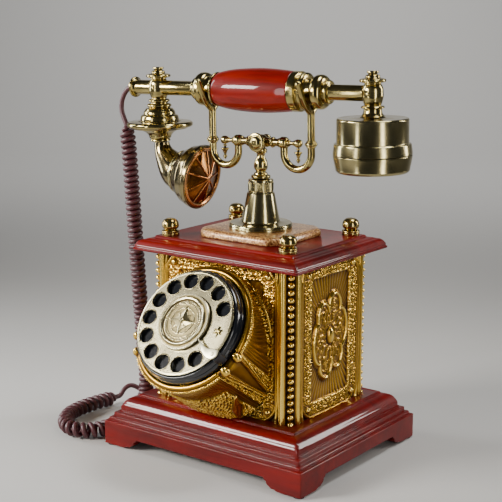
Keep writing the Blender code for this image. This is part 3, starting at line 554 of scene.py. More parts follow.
# ---------------------------------------------------------------- camera, light and floor
def set_camera():
    """Looks at the target from the right of its front and a little above."""
    elevation, roll, distance = math.radians(11.997), math.radians(0.055), 1.09357
    target = COLUMN @ Vector((0.01511, -0.03494, 0.18871))
    back = Vector((math.sin(VIEW_AZIMUTH) * math.cos(elevation),
                   -math.cos(VIEW_AZIMUTH) * math.cos(elevation), math.sin(elevation)))
    data = bpy.data.cameras.new("camera")
    data.sensor_width = 36.0
    data.lens = 89.59
    data.clip_start = 0.01
    data.clip_end = 200.0
    camera = new_object("camera", data)
    aim = back.to_track_quat("Z", "Y").to_matrix().to_4x4() @ Matrix.Rotation(roll, 4, "Z")
    camera.matrix_world = Matrix.Translation(target + distance * back) @ aim
    bpy.context.scene.camera = camera


def area_light(name, place, aim, size, power, colour, spread_angle):
    """A rectangular light that points from its place to its aim; its spread is in degrees."""
    data = bpy.data.lights.new(name, "AREA")
    data.shape = "RECTANGLE"
    data.size, data.size_y = size
    data.energy = power
    data.color = colour
    data.spread = math.radians(spread_angle)
    light = new_object(name, data)
    light.location = place
    light.rotation_euler = (Vector(aim) - Vector(place)).to_track_quat("-Z", "Y").to_euler()


def set_stage():
    """A pale sweep that curves up behind the object, a dim sky and seven lights."""
    world = bpy.data.worlds.new("studio")
    bpy.context.scene.world = world
    world.use_nodes = True
    sky = world.node_tree.nodes["Background"]
    sky.inputs["Color"].default_value = (0.80, 0.86, 0.95, 1.0)
    sky.inputs["Strength"].default_value = 0.05
    floor = new_material("pale_floor", "mahogany", Base_Color=(0.50, 0.49, 0.47, 1.0), Roughness=0.7)[0]
    half_width, front, back, rise, bend = 4.0, -0.62, 3.2, 2.4, 1.2
    profile = [(front, 0.0)]
    for a in np.linspace(0, math.pi / 2, 16):
        profile.append((back - bend + bend * math.sin(a), bend - bend * math.cos(a)))
    profile.append((back, rise))
    turn = Matrix.Rotation(VIEW_AZIMUTH, 4, "Z")
    vertices = [turn @ Vector((x, y, z)) for y, z in profile for x in (-half_width, half_width)]
    faces = [(2 * i, 2 * i + 1, 2 * i + 3, 2 * i + 2) for i in range(len(profile) - 1)]
    sweep = mesh_object("floor_sweep", vertices, faces)
    sweep.data.materials.append(floor)
    warm, white, cool = (1.0, 0.97, 0.92), (1.0, 1.0, 1.0), (0.92, 0.96, 1.0)
    area_light("key_left", (-0.77, -1.02, 0.66), (0, 0, 0.16), (0.50, 0.30), 6.5, warm, 80)
    area_light("strip_front", (1.01, -0.44, 0.22), (0, 0, 0.22), (0.16, 1.1), 2.6, warm, 120)
    area_light("strip_left", (-0.26, -1.12, 0.20), (0, 0, 0.22), (0.10, 1.0), 1.6, white, 120)
    area_light("rim_right", (0.70, 0.84, 0.56), (0, 0, 0.22), (0.14, 0.8), 1.6, warm, 80)
    area_light("rim_left", (-1.08, -0.19, 0.50), (0, 0, 0.22), (0.14, 0.9), 2.4, cool, 80)
    area_light("top", (0.30, 0.30, 1.35), (0, 0, 0.2), (0.5, 0.4), 2.2, white, 80)
    area_light("backdrop", (-0.6, 1.0, 1.9), (-1.6, 2.6, 0.3), (1.2, 1.2), 34, white, 140)


# ---------------------------------------------------------------- boards
QUARTERS = ((1, 1), (-1, 1), (-1, -1), (1, -1))
BOARD_CORNER = 0.0009


def board_ring(x, y, height):
    """One level of a board: four rounded corners about (x, y) and its mirrors, and a few points along each
    side that keep its shading even."""
    corners = []
    for quarter, (sx, sy) in enumerate(QUARTERS):
        points = []
        for k in range(4):
            a = math.pi / 2 * (quarter + k / 3)
            points.append(Vector((sx * x + BOARD_CORNER * math.cos(a), sy * y + BOARD_CORNER * math.sin(a),
                                  height)))
        corners.append(points)
    ring = []
    for quarter, points in enumerate(corners):
        following = corners[(quarter + 1) % 4][0]
        ring += points + [points[-1].lerp(following, share) for share in (0.015, 0.2, 0.5, 0.8, 0.985)]
    return ring


def expand_signed(profile):
    """As expand, for a moulding, whose insets may be near 0: moved off 0 and back."""
    return [(x - 1.0, y) for x, y in expand([(p[0] + 1.0, *p[1:]) for p in profile])]


def board_mesh(half_x, half_y, profile):
    """Vertices and faces of a moulded board; the profile's (inset, height) entries go up its side."""
    return closed_rings([board_ring(half_x - inset - BOARD_CORNER, half_y - inset - BOARD_CORNER, height)
                         for inset, height in expand_signed(profile)])


def cutter(name, vertices, faces):
    """A solid to cut a board with, its faces all turned outwards."""
    obj = mesh_object(name, vertices, faces, smooth=False)
    obj.matrix_world = COLUMN
    bm = bmesh.new()
    bm.from_mesh(obj.data)
    bmesh.ops.recalc_face_normals(bm, faces=bm.faces)
    bm.to_mesh(obj.data)
    bm.free()
    return obj


def cut(target, *tools):
    """Cuts the tools from the target for good, and removes them."""
    for tool in tools:
        modifier = target.modifiers.new(tool.name, "BOOLEAN")
        modifier.object = tool
        modifier.solver = "EXACT"
    bpy.context.view_layer.update()
    done = bpy.data.meshes.new_from_object(target.evaluated_get(bpy.context.evaluated_depsgraph_get()))
    target.modifiers.clear()
    target.data = done
    for tool in tools:
        bpy.data.objects.remove(tool)


def box_faces(centre, size):
    """Vertices and faces of a box, by its centre and its full size."""
    x, y, z = centre
    a, b, c = size[0] / 2, size[1] / 2, size[2] / 2
    vertices = [(x + i * a, y + j * b, z + k * c) for i in (-1, 1) for j in (-1, 1) for k in (-1, 1)]
    faces = [(0, 1, 3, 2), (4, 6, 7, 5), (0, 4, 5, 1), (2, 3, 7, 6), (0, 2, 6, 4), (1, 5, 7, 3)]
    return vertices, faces


def prism(outline, half_depth, turn):
    """A closed prism of an (x, z) outline, extruded along Y and then turned about Z."""
    spin = Matrix.Rotation(turn, 4, "Z")
    return closed_rings([[spin @ Vector((x, y, z)) for x, z in outline] for y in (-half_depth, half_depth)])


def arch(half_width):
    """The outline of a cut-out between two bracket feet, an ogee at each end."""
    ogee = [(0.0, 0.0), (0.0, 0.0006), (0.0075, 0.0028, 0.25), (0.0105, 0.0050, 0.15),
            (0.0125, 0.0085, -0.35), (0.0155, 0.0112, -0.30)]
    right = [(half_width, -0.01)] + [(half_width - run, height) for run, height in expand(ogee)]
    return right + [(-x, z) for x, z in reversed(right)]


def make_plinth():
    """The moulded bottom board: hollow, arched between its feet and open at the two sockets."""
    half_x, half_y, wall, socket_z = 0.1100, 0.0936, 0.0110, 0.01735
    profile = [(0.0, 0.0014), (0.0, 0.0228), (0.0022, 0.0234, 0.4), (0.0030, 0.0236), (0.0030, 0.0256),
               (0.0044, 0.0264, 0.4), (0.0062, 0.0266), (0.0062, 0.0300), (0.0074, 0.0306, 0.4),
               (0.0100, 0.0308), (0.0100, 0.0322), (0.0108, 0.0326), (0.0128, 0.0392, 0.20),
               (0.0170, 0.0434, 0.20), (0.0222, 0.0446, 0.10), (0.0226, 0.0448), (0.0230, 0.0463),
               (0.0262, 0.0465, 0.3)]
    plinth = mesh_object("plinth_board", *board_mesh(half_x, half_y, profile), smooth=False)
    plinth.matrix_world = COLUMN
    bpy.context.view_layer.update()
    hollow = cutter("hollow", *box_faces((0, 0, 0.013), (2 * (half_x - wall), 2 * (half_y - wall), 0.032)))
    front = cutter("arch_front", *prism(arch(0.0870), 0.2, 0))
    side = cutter("arch_side", *prism(arch(0.0715), 0.2, math.pi / 2))
    jack_left = cutter("jack_left", *box_faces((-half_x, 0.0455, socket_z), (0.030, 0.0140, 0.0103)))
    jack_back = cutter("jack_back", *box_faces((0.0400, half_y, socket_z), (0.0140, 0.030, 0.0103)))
    cut(plinth, hollow, front, side, jack_left, jack_back)
    plinth.data.shade_smooth()
    soften(plinth, 0.0004, angle=28)
    settle(plinth, MAHOGANY, COLUMN, "desk_base", ["plinth"])


def make_top_plate():
    profile = [(0.0070, 0.1831), (0.0012, 0.1831), (0.0004, 0.1842, 0.4), (0.0004, 0.1850),
               (0.0016, 0.1864, -0.35), (0.0014, 0.1868), (0.0022, 0.1885, 0.2), (0.0078, 0.1923, 0.30),
               (0.0125, 0.1935, 0.1), (0.0142, 0.1938), (0.0150, 0.1953), (0.0175, 0.1957, 0.3)]
    plate = mesh_object("top_plate_board", *board_mesh(0.0902, 0.0734, profile))
    soften(plate, 0.0003, angle=28)
    settle(plate, MAHOGANY, COLUMN, "desk_base", ["top_plate"])


def make_pad():
    """The cast slab under the stand: hollowed corners, rounded rim."""
    half_x, half_y, clip = 0.0460, 0.0400, 0.0135
    outline = []
    for quarter, (sx, sy) in enumerate(QUARTERS):
        start = math.pi / 2 * (quarter + 3)
        corner = Vector((sx * (half_x - clip), sy * (half_y - clip)))
        for k in range(9):
            a = start + math.pi / 2 * k / 8 + math.pi / 2
            bow = 1.0 - 0.16 * math.sin(math.pi * k / 8) ** 2
            outline.append(corner + clip * bow * Vector((math.cos(a), math.sin(a))))
    rows = [(0.0, 0.1960), (-0.0003, 0.1975), (0.0, 0.2000), (0.0009, 0.2016), (0.0022, 0.2025),
            (0.0038, 0.2028)]
    rings = []
    for inset, height in rows:
        shrink = Vector((1 - inset / half_x, 1 - inset / half_y))
        rings.append([(p.x * shrink.x, p.y * shrink.y, height) for p in outline])
    loft("resin_slab", rings, SANDED, COLUMN, "desk_base", ["resin_pad"], edge=0.0003)


# ---------------------------------------------------------------- cast body
BODY_HALF = (0.0745, 0.0578)
BODY_Z = (0.0468, 0.1828)
CORNER = 0.0080
BODY_ROWS, BODY_STEP = 218, 0.00079  # levels of its relief grid, and the run between points round it
RELIEF_SHADE = (0.56, 0.34)


def body_outline(step):
    """Base points, normals and relief coordinates round the body: u from a side's middle, its half width, and
    the distance e from the nearest corner."""
    x, y = BODY_HALF[0] - CORNER, BODY_HALF[1] - CORNER
    sides = (((x, -y), (0, 1), y), ((x, y), (-1, 0), x), ((-x, y), (0, -1), y), ((-x, -y), (1, 0), x))
    points, normals, across, half, corner = [], [], [], [], []
    quarter_run = CORNER * math.pi / 4
    for start, along, length in sides:
        out = (along[1], -along[0])
        count = int(2 * length / step)
        for k in range(count):
            s = 2 * length * k / count
            points.append((start[0] + along[0] * s + out[0] * CORNER,
                           start[1] + along[1] * s + out[1] * CORNER))
            normals.append(out)
            across.append(s - length)
            half.append(length)
            corner.append(min(s, 2 * length - s) + quarter_run)
        end = (start[0] + along[0] * 2 * length, start[1] + along[1] * 2 * length)
        bend = int(2 * quarter_run / step)
        for k in range(bend):
            a = math.pi / 2 * k / bend
            turned_out = (out[0] * math.cos(a) + along[0] * math.sin(a),
                          out[1] * math.cos(a) + along[1] * math.sin(a))
            points.append((end[0] + turned_out[0] * CORNER, end[1] + turned_out[1] * CORNER))
            normals.append(turned_out)
            across.append(length)
            half.append(length)
            corner.append(CORNER * abs(a - math.pi / 4))
    return (np.array(points), np.array(normals), np.array(across) * 1000, np.array(half) * 1000,
            np.array(corner) * 1000)


def rounded_box(x, y, half_x, half_y, corner):
    """Distance from a rounded rectangle's outline, negative inside."""
    dx, dy = np.abs(x) - half_x + corner, np.abs(y) - half_y + corner
    return np.hypot(np.maximum(dx, 0), np.maximum(dy, 0)) + np.minimum(np.maximum(dx, dy), 0) - corner


# The scroll's ovals as shares of its field: centre (x, y), then radii; the last is the oval in the middle.
LOBES = ((0.24, 0.60, 0.32, 0.30), (-0.36, 0.46, 0.30, 0.28), (0.56, 0.10, 0.34, 0.44),
         (-0.56, -0.12, 0.34, 0.44), (-0.24, -0.60, 0.32, 0.30), (0.36, -0.46, 0.30, 0.28),
         (0.0, 0.0, 0.50, 0.55))


def scroll_relief(u, v, field_w, field_h):
    """The lobed scroll in a panel's middle: a thick rope round acanthus leaves, petals and an oval boss."""
    radius, angle = np.hypot(u / 0.8, v), np.arctan2(v, u)
    lobes = []
    for cx, cy, rx, ry in LOBES:
        x, y = (u / field_w - cx) / rx, (v / field_h - cy) / ry
        lobes.append((np.hypot(x, y) - 1) * np.minimum(rx * field_w, ry * field_h))
    shape = np.minimum.reduce(lobes)
    inside = step_up(-shape, -0.5, 0.5)
    leaves = np.abs(np.cos(angle * 7 + 0.22 * radius + 0.8 * np.sin(radius * 0.55)))
    height = inside * (0.5 + 1.5 * leaves * step_up(-shape, 1.2, 3.0) * step_up(radius, 8.5, 11.0))
    height += inside * 0.35 * np.cos(radius * 3.1 + 5 * leaves) * step_up(radius, 10, 13)
    height = np.maximum(height, 3.2 * ridge(shape, 1.6))
    for cx, cy, rx, ry in LOBES[:6]:
        x, y = u - cx * field_w, v - cy * field_h
        curl = np.hypot(x, y) - 2.8 - 0.45 * np.arctan2(y, x)
        height = np.maximum(height, 2.3 * ridge(curl, 0.8) * (np.hypot(x, y) < 4.6))
    stem = np.abs(u + 3.0 * np.sin(v * 0.11)) - 2.2
    height = np.maximum(height, 2.4 * ridge(stem, 1.1) * step_up(np.abs(v), 9, 12)
                        * step_up(-shape, 1.0, 2.0))
    petals = np.hypot(u / 0.68, v)
    height = np.maximum(height, (1.9 + 0.5 * np.cos(angle * 12)) * ridge(petals - 11.2, 1.7))
    height = np.maximum(height, 1.2 + 3.4 * dome(u, v, 5.3, 7.9))
    return height - 5.0 * step_up(shape, 2.0, 3.4)


def panel_relief(u, v, half_w, half_h):
    """The cast ornament of one wall: leafy border between beads, a fluted dish and its scroll. Returns the
    height and the distance from the panel's outline."""
    outline = rounded_box(u, v, half_w, half_h, 17.0)
    run = np.where(np.abs(u) / half_w > np.abs(v) / half_h, v, u)
    height = 1.0 + 1.7 * pebbles(u, v, 2.3) + 0.5 * pebbles(u, v, 1.3, 4.0)
    height = np.maximum(height, 2.7 * bead_row(run, outline + 2.2, 2.5, 1.15))
    height = np.maximum(height, 2.9 * bead_row(run, outline + 6.6, 4.3, 1.35)
                        + 0.4 * ridge(outline + 6.6, 2.2))
    height = np.maximum(height, 2.6 * bead_row(run, outline + 10.4, 2.2, 1.0))
    for su in (-1, 1):
        for sv in (-1, 1):
            x, y = u - su * (half_w - 7.0), v - sv * (half_h - 7.0)
            r = np.hypot(x, y)
            height = np.where(r < 5.2, 1.0 + 3.4 * dome(x, y, 3.3, 3.3) + 1.2 * ridge(r - 4.5, 0.6), height)
    dish = rounded_box(u, v, half_w - 12.0, half_h - 12.0, 5.0)
    angle, radius = np.arctan2(v, u), np.hypot(u, v)
    fluted = 0.35 + 0.65 * step_up(-u * v, -150, 150)
    field = -0.6 + 0.020 * radius + 0.50 * fluted * np.cos(angle * 76) * step_up(radius, 20, 30)
    field = np.maximum(field, scroll_relief(u, v, half_w - 13.0, 0.80 * (half_h - 15.5)))
    inner = step_up(-dish, -0.5, 0.7)
    return inner * field + (1 - inner) * height, outline


def make_body():
    """The cast wall round the body: a panel on each side and a row of beads down each corner."""
    base, normal, u, half, e = body_outline(BODY_STEP)
    z = np.linspace(*BODY_Z, BODY_ROWS)
    middle, half_h = (z[0] + z[-1]) / 2, (z[-1] - z[0]) * 500
    v = np.broadcast_to(((z - middle) * 1000)[:, None], (len(z), len(u)))
    u, half, e = (np.broadcast_to(a, v.shape) for a in (u, half, e))
    flare = 7.0 * np.clip((np.abs(v) / half_h - 0.35) / 0.65, 0, 1) ** 2.0
    wide = half + CORNER * 1000 * math.pi / 4 - 14.4
    panel, outline = panel_relief(u, v, wide, half_h - 1.0)
    on_panel = step_up(-outline, -0.4, 0.4)
    height = on_panel * panel - 0.4 * (1 - on_panel)
    height = np.maximum(height, 2.6 * np.sqrt(dome(outline - 1.6, 0, 1.5, 1.0)))
    height = np.maximum(height, 3.0 * np.sqrt(dome(e - 10.4 - 0.35 * flare, 0, 1.5, 1.0))
                        * step_up(outline, 1.6, 3.0))
    height = np.maximum(height, 3.6 * np.sqrt(dome(e - 6.9, 0, 2.9, 1.0)) - 0.9 * ridge(e - 7.9, 0.4))
    pitch = 2 * half_h / 21
    beads = bead_row(v + pitch / 2, e, pitch, 2.95)
    height = np.where(e < 4.0, -0.8 + 4.9 * beads, height)
    points = np.zeros((*u.shape, 3))
    points[..., 0], points[..., 1] = base[:, 0], base[:, 1]
    points[..., 2] = z[:, None]
    normals = np.zeros_like(points)
    normals[..., 0], normals[..., 1] = normal[:, 0], normal[:, 1]
    relief_object("body_casting", points, normals, height, RELIEF_SHADE, GILT, COLUMN, "desk_base",
                  ["body_shell"])


# ---------------------------------------------------------------- dial housing
def housing_surface(columns, rows):
    """Base points of the dial's cast housing, from its round lip to a rounded rectangle on the body."""
    theta = np.linspace(0, 2 * math.pi, columns, endpoint=False)
    to_column = np.array(COLUMN.inverted() @ DIAL)
    cos, sin = np.cos(theta), np.sin(theta)
    low, high, half_width = BODY_Z[0] + 0.0004, 0.1760, 0.0520

    def rim(radius, height):
        local = np.stack([radius * cos, radius * sin, np.full(columns, height), np.ones(columns)])
        return (to_column @ local)[:3].T

    x = half_width * np.sign(cos) * np.abs(cos) ** 0.6
    z = (low + high) / 2 + (high - low) / 2 * np.sign(sin) * np.abs(sin) ** 0.6
    forward = 0.0170 * np.clip(-sin, 0, 1) ** 2
    wall = np.stack([x, -BODY_HALF[1] + 0.002 - forward, z], axis=1)
    sections = [rim(0.0525, -0.0126), rim(0.0532, -0.0119), rim(0.0547, -0.0119), rim(0.0570, -0.0150),
                0.74 * rim(0.0556, -0.0215) + 0.26 * wall, 0.36 * rim(0.0550, -0.0300) + 0.64 * wall, wall]
    stops = np.array([0.0, 0.02, 0.05, 0.14, 0.40, 0.72, 1.0])
    stack = np.array(sections)
    t = np.linspace(0, 1, rows)
    points = np.empty((rows, columns, 3))
    slopes = np.gradient(stack, stops, axis=0)
    for i, value in enumerate(t):
        k = min(np.searchsorted(stops, value, side="right") - 1, len(stops) - 2)
        span = stops[k + 1] - stops[k]
        s = (value - stops[k]) / span
        points[i] = ((2 * s**3 - 3 * s**2 + 1) * stack[k] + (s**3 - 2 * s**2 + s) * span * slopes[k]
                     + (3 * s**2 - 2 * s**3) * stack[k + 1] + (s**3 - s**2) * span * slopes[k + 1])
    return theta, t, points


def grid_normals(points):
    """Unit normals over a grid of points whose rows close on themselves."""
    around = np.roll(points, -1, axis=1) - np.roll(points, 1, axis=1)
    along = np.gradient(points, axis=0)
    normal = np.cross(along, around)
    return normal / np.linalg.norm(normal, axis=2, keepdims=True)


def spoke_relief(height, degrees, share, down, side):
    """Adds one side's pair of ridges. Each runs from a ball by the lip to the foot of the wall, with beads
    and a leafy band outside it and a smooth channel between the two."""
    turned_in = degrees if side > 0 else (180 - degrees + 180) % 360 - 180
    arm = 0.057 + 0.012 * share
    reach = step_up(down, 4.0, 7.0)

    def across(start, end):
        return np.radians(turned_in - (start + (end - start) * step_up(share, 0.1, 1.0))) * arm * 1000

    upper, lower = across(-16.5, -24.0), across(-32.5, -28.0)
    channel = (upper < 0) & (lower > 0)
    height = np.where(channel, 0.9 * reach + 0.2, height)
    for ridge_line, edge, out in ((upper, across(-13.0, -13.0), 1), (lower, across(-38.5, -39.0), -1)):
        band = (out * ridge_line > 0) & (out * edge < 0)
        leaves = 0.9 + 1.6 * pebbles(ridge_line + 40, down, 2.2, 6.0)
        height = np.where(band, leaves * reach, height)
        height = np.maximum(height, 2.6 * reach * ridge(edge, 0.6))
        height = np.maximum(height, 3.6 * reach * ridge(ridge_line, 1.5))
        height = np.maximum(height, 3.2 * reach * bead_row(down, ridge_line - out * 2.6, 2.1, 1.05))
        height = np.maximum(height, 4.6 * dome(ridge_line + out * 0.4, down - 5.6, 4.0, 4.2))
    return height


def make_dial_housing():
    """The cast bowl round the dial: beads by its lip, flutes, a crest, leaves and two pairs of ridges."""
    theta, t, points = housing_surface(columns=760, rows=170)
    normals = grid_normals(points)
    centre = points.mean(axis=(0, 1))
    if (normals * (points - centre)).sum() < 0:
        normals = -normals
    around = np.linalg.norm(np.roll(points, -1, axis=1) - points, axis=2).cumsum(axis=1) * 1000
    down = np.linalg.norm(np.diff(points, axis=0, prepend=points[:1]), axis=2).cumsum(axis=0) * 1000
    degrees = np.broadcast_to((np.degrees(theta) + 180) % 360 - 180, down.shape)
    share = np.broadcast_to(t[:, None], down.shape)
    lean = np.abs(np.abs(degrees) - 90) * np.sign(degrees) * -1 + 90 * np.sign(degrees)
    right = np.where(np.abs(degrees) > 90, lean, degrees)
    crest = np.interp(right, [-28, -8, -3, 0.5, 7, 23, 40, 58, 90],
                      [0.99, 0.985, 0.98, 0.94, 0.85, 0.66, 0.46, 0.40, 0.38])
    off_crest = (share - crest) * 72
    fluted = step_up(down, 6.5, 8.0) * step_up(-off_crest, 1.0, 3.0)
    height = 1.0 * ridge(down - 2.4, 2.2) * step_up(down, 0.2, 1.4)
    height = np.maximum(height, 2.6 * bead_row(around, down - 5.9, 2.0, 0.95))
    height += fluted * 0.55 * np.cos(np.radians(degrees) * 150)
    leafy = fluted * step_up(off_crest, -13.0, -9.0)
    height += leafy * 1.7 * pebbles(around, down, 2.9, 3.0) * step_up(right, -8, 0)
    outer = step_up(off_crest, 1.2, 2.4)
    height = np.where(outer > 0.5, outer * (0.3 + 1.5 * pebbles(around, down, 1.7, 2.0)), height)
    height = np.maximum(height, 3.2 * np.sqrt(dome(off_crest, 0, 1.7, 1.0)) * step_up(right, -30, -26))
    bottom = step_up(-right, 44, 50)
    swirl = bottom * step_up(share, 0.36, 0.44)
    height = np.where(swirl > 0.5, 0.5 + 1.9 * pebbles(around, down, 3.0, 8.0), height)
    leaf = (right + 49 + (share - 0.6) * 46) / (7.5 - 5.5 * np.abs(share - 0.78) / 0.22)
    on_leaf = (np.abs(leaf) < 1) & (np.abs(share - 0.78) < 0.22)
    height = np.where(on_leaf, 1.0 + 2.0 * np.sqrt(np.clip(1 - leaf**2, 0, 1)) - 0.5 * ridge(leaf, 0.12),
                      height)
    for side in (1, -1):
        height = spoke_relief(height, degrees, share, down, side)
    height *= step_up(share, 0.0, 0.02)
    relief_object("dial_bowl_casting", points, normals, height, RELIEF_SHADE, GILT, COLUMN, "desk_base",
                  ["dial_housing"])


# ---------------------------------------------------------------- dial
def dial_xy(radius, angle):
    """Where an angle and a radius are on a disc."""
    return radius * math.cos(angle), radius * math.sin(angle)


WHEEL_R, HOLE_CIRCLE, HOLE_R = 0.0478, 0.0382, 0.00695
LUG_ANGLE = math.radians(-27.0)
HOLE_STEP = 2 * math.pi / 14
HOLE_ANGLES = [math.radians(27.95) + k * HOLE_STEP for k in range(12)]


def make_finger_wheel():
    """The engraved wheel: twelve rimmed holes, dotted lines round them and scrolls between."""
    profile = [(0.0, 0.0), (0.0455, 0.0), (0.0460, 0.0004, 0.4), (0.0466, 0.0002, 0.3),
               (WHEEL_R - 0.0002, 0.0), (WHEEL_R, -0.0004, 0.4), (WHEEL_R, -0.0016), (0.0, -0.0016)]
    wheel = turned("engraved_wheel", profile, PALE_BRASS, DIAL, "dial", ["finger_wheel"], steps=160, edge=0)
    tools = []
    for number, angle in enumerate(HOLE_ANGLES, 1):
        x, y = dial_xy(HOLE_CIRCLE, angle)
        bm = bmesh.new()
        bmesh.ops.create_cone(bm, cap_ends=True, segments=48, radius1=HOLE_R, radius2=HOLE_R, depth=0.02)
        tool = mesh_from(bm, "hole")
        tool.matrix_world = at(DIAL, x, y)
        tools.append(tool)
        lip = [(HOLE_R, -0.0014), (HOLE_R + 0.0001, 0.0001), (HOLE_R + 0.0004, 0.0005, -0.5),
               (HOLE_R + 0.0009, 0.0001, -0.5), (HOLE_R + 0.0009, -0.0012)]
        rim = turned(f"hole_rim_{number}", list(reversed(lip)), PALE_BRASS, at(DIAL, x, y), "dial", steps=48,
                     ring=True, edge=0)
        rim.parent = wheel
        rim.matrix_parent_inverse = wheel.matrix_world.inverted()
    cut(wheel, *tools)
    wheel.data.shade_smooth()
    soften(wheel, 0.00015, angle=35)
    make_engraving()


def make_engraving():
    """Raised dots in one mesh: a line round the edge, an arc outside each hole and a sprig between holes."""
    spots = [(0.0450, 2 * math.pi * k / 132, 0.00034) for k in range(132)]
    half_step = HOLE_STEP / 2
    for angle in HOLE_ANGLES:
        for reach, swing in ((0.0325, 1.0), (0.0310, 0.8), (0.0338, 0.82), (0.0436, 1.0), (0.0427, 0.8),
                             (0.0427, 1.2), (0.0298, 1.0)):
            spots.append((reach, angle + half_step * swing, 0.00046))
            spots.append((reach, angle - half_step * (2 - swing), 0.00046))
    bm = bmesh.new()
    for radius, angle, size in spots:
        x, y = dial_xy(radius, angle)
        place = Matrix.Translation((x, y, 0)) @ Matrix.Diagonal((size, size, 0.75 * size, 1))
        bmesh.ops.create_icosphere(bm, subdivisions=2, radius=1.0, matrix=place)
    dots = mesh_from(bm, "wheel_engraving")
    dots.data.shade_smooth()
    settle(dots, PALE_BRASS, DIAL, "dial")


def make_medallion():
    """A coin-like boss: laurel ring, rim, ticked ring and a compass rose."""
    radius = np.concatenate([[0.02], np.linspace(0.25, 25.8, 130)])
    theta = np.linspace(0, 2 * math.pi, 480, endpoint=False)
    r, a = np.meshgrid(radius, theta, indexing="ij")
    x, y = r * np.cos(a), r * np.sin(a)
    height = np.full(r.shape, 3.3)
    height += 1.3 * step_up(r, 19.4, 20.0) * (1 - step_up(r, 21.4, 22.3))
    height += 0.35 * ridge(r - 21.0, 0.4) - 0.5 * ridge(r - 19.2, 0.25)
    leaves = np.abs(np.sin(a * 26 + np.abs(r - 24.0) * 0.9))
    height += step_up(r, 22.2, 22.5) * (-1.2 + 1.0 * leaves * ridge(r - 24.0, 1.1)
                                        + 0.5 * ridge(r - 25.3, 0.3))
    ticks = (np.abs(np.cos(a * 32)) > 0.45) & (np.abs(np.sin(a * 2)) > 0.10) & (r > 16.7) & (r < 18.4)
    height += 0.45 * ticks + 0.45 * ridge(r - 15.6, 0.35)
    for turn, size, rise in ((math.pi / 4, 10.5, 1.3), (0.0, 14.2, 1.9)):
        px, py = x * math.cos(turn) + y * math.sin(turn), y * math.cos(turn) - x * math.sin(turn)
        star = (np.abs(px / size) ** 0.62 + np.abs(py / size) ** 0.62) ** (1 / 0.62)
        facet = np.where(px * py > 0, 1.0, 0.7)
        height = np.maximum(height, 3.3 + rise * np.clip(1 - star, 0, 1) * facet + 0.5 * (star < 1))
    height += 0.6 * ridge(r - 11.6, 0.35) * (height < 3.7) + 0.9 * dome(x, y, 2.0, 2.0)
    height = np.where(r > 25.6, 0.4, height)
    points = np.stack([x / 1000, y / 1000, 0 * x], axis=2)
    normals = np.zeros_like(points)
    normals[..., 2] = 1.0
    # a strong gain: painted shade in its hollows and painted highlights on its ridges
    coin = relief_object("compass_medallion", points, normals, height, (0.52, 1.0), COIN, DIAL, "dial",
                         ["dial_medallion"])
    coin.data.flip_normals()


def make_emblem():
    """A small sprig of five leaves, a seed and a stem, in place of a badge."""
    x, y = 0.0368, -0.0034
    leaves = ((90, 0.0034), (40, 0.0029), (140, 0.0029), (-5, 0.0023), (185, 0.0023))
    for number, (degrees, size) in enumerate(leaves, 1):
        a = math.radians(degrees)
        place = at(DIAL, x + size * 0.9 * math.cos(a), y + size * 0.9 * math.sin(a), 0.0002)
        place = place @ Matrix.Rotation(a, 4, "Z")
        ball(f"sprig_leaf_{number}", (size, size * 0.36, 0.0011), BRASS, place, "dial")
    ball("sprig_seed", (0.0011, 0.0011, 0.0013), BRASS, at(DIAL, x, y, 0.0003), "dial")
    stem = [(x, y - 0.0002, 0.0003), (x + 0.0003, y - 0.0020, 0.0004), (x - 0.0004, y - 0.0042, 0.0003)]
    pipe("sprig_stem", smooth_line(stem, 0.0004), 0.0004, BRASS, DIAL, "dial")


# The finger stop's outline in the dial's plane, then its underside's height and its thickness.
STOP_OUTLINE = [(0.0218, -0.0116), (0.0270, -0.0175), (0.0316, -0.0229), (0.0368, -0.0264), (0.0416, -0.0275),
                (0.0451, -0.0261), (0.0474, -0.0228), (0.0461, -0.0185), (0.0414, -0.0179), (0.0364, -0.0184),
                (0.0309, -0.0167), (0.0257, -0.0136)]
STOP_Z, STOP_T = 0.0030, 0.0014


def make_finger_stop():
    """The stop: a flat comma-shaped finger, round over the wheel's rim and pointed towards the medallion."""
    outline = closed_line(STOP_OUTLINE, 8)
    middle = Vector((0.0395, -0.0222))
    top = STOP_Z + STOP_T
    rings = []
    for inset, height in ((0.00035, STOP_Z), (0.0, STOP_Z + 0.00035), (0.0, top - 0.0005),
                          (0.0003, top - 0.00015), (0.0008, top)):
        ring = []
        for point, before, after in zip(outline, outline[-1:] + outline[:-1], outline[1:] + outline[:1]):
            along = (after - before).normalized()
            inward = Vector((-along.y, along.x))
            ring.append((*(point + inward * min(inset, 0.3 * (point - middle).length)), height))
        rings.append(ring)
    loft("comma_finger_stop", rings, CREAM_BRASS, DIAL, "desk_base", ["finger_stop"])
    turned("stop_rivet", [(0.0, 0.0005), (0.0014, 0.0004, 0.3), (0.0017, 0.0), (0.0, -0.0002)], CREAM_BRASS,
           at(DIAL, 0.0428, -0.0226, top), "desk_base", steps=32, edge=0)


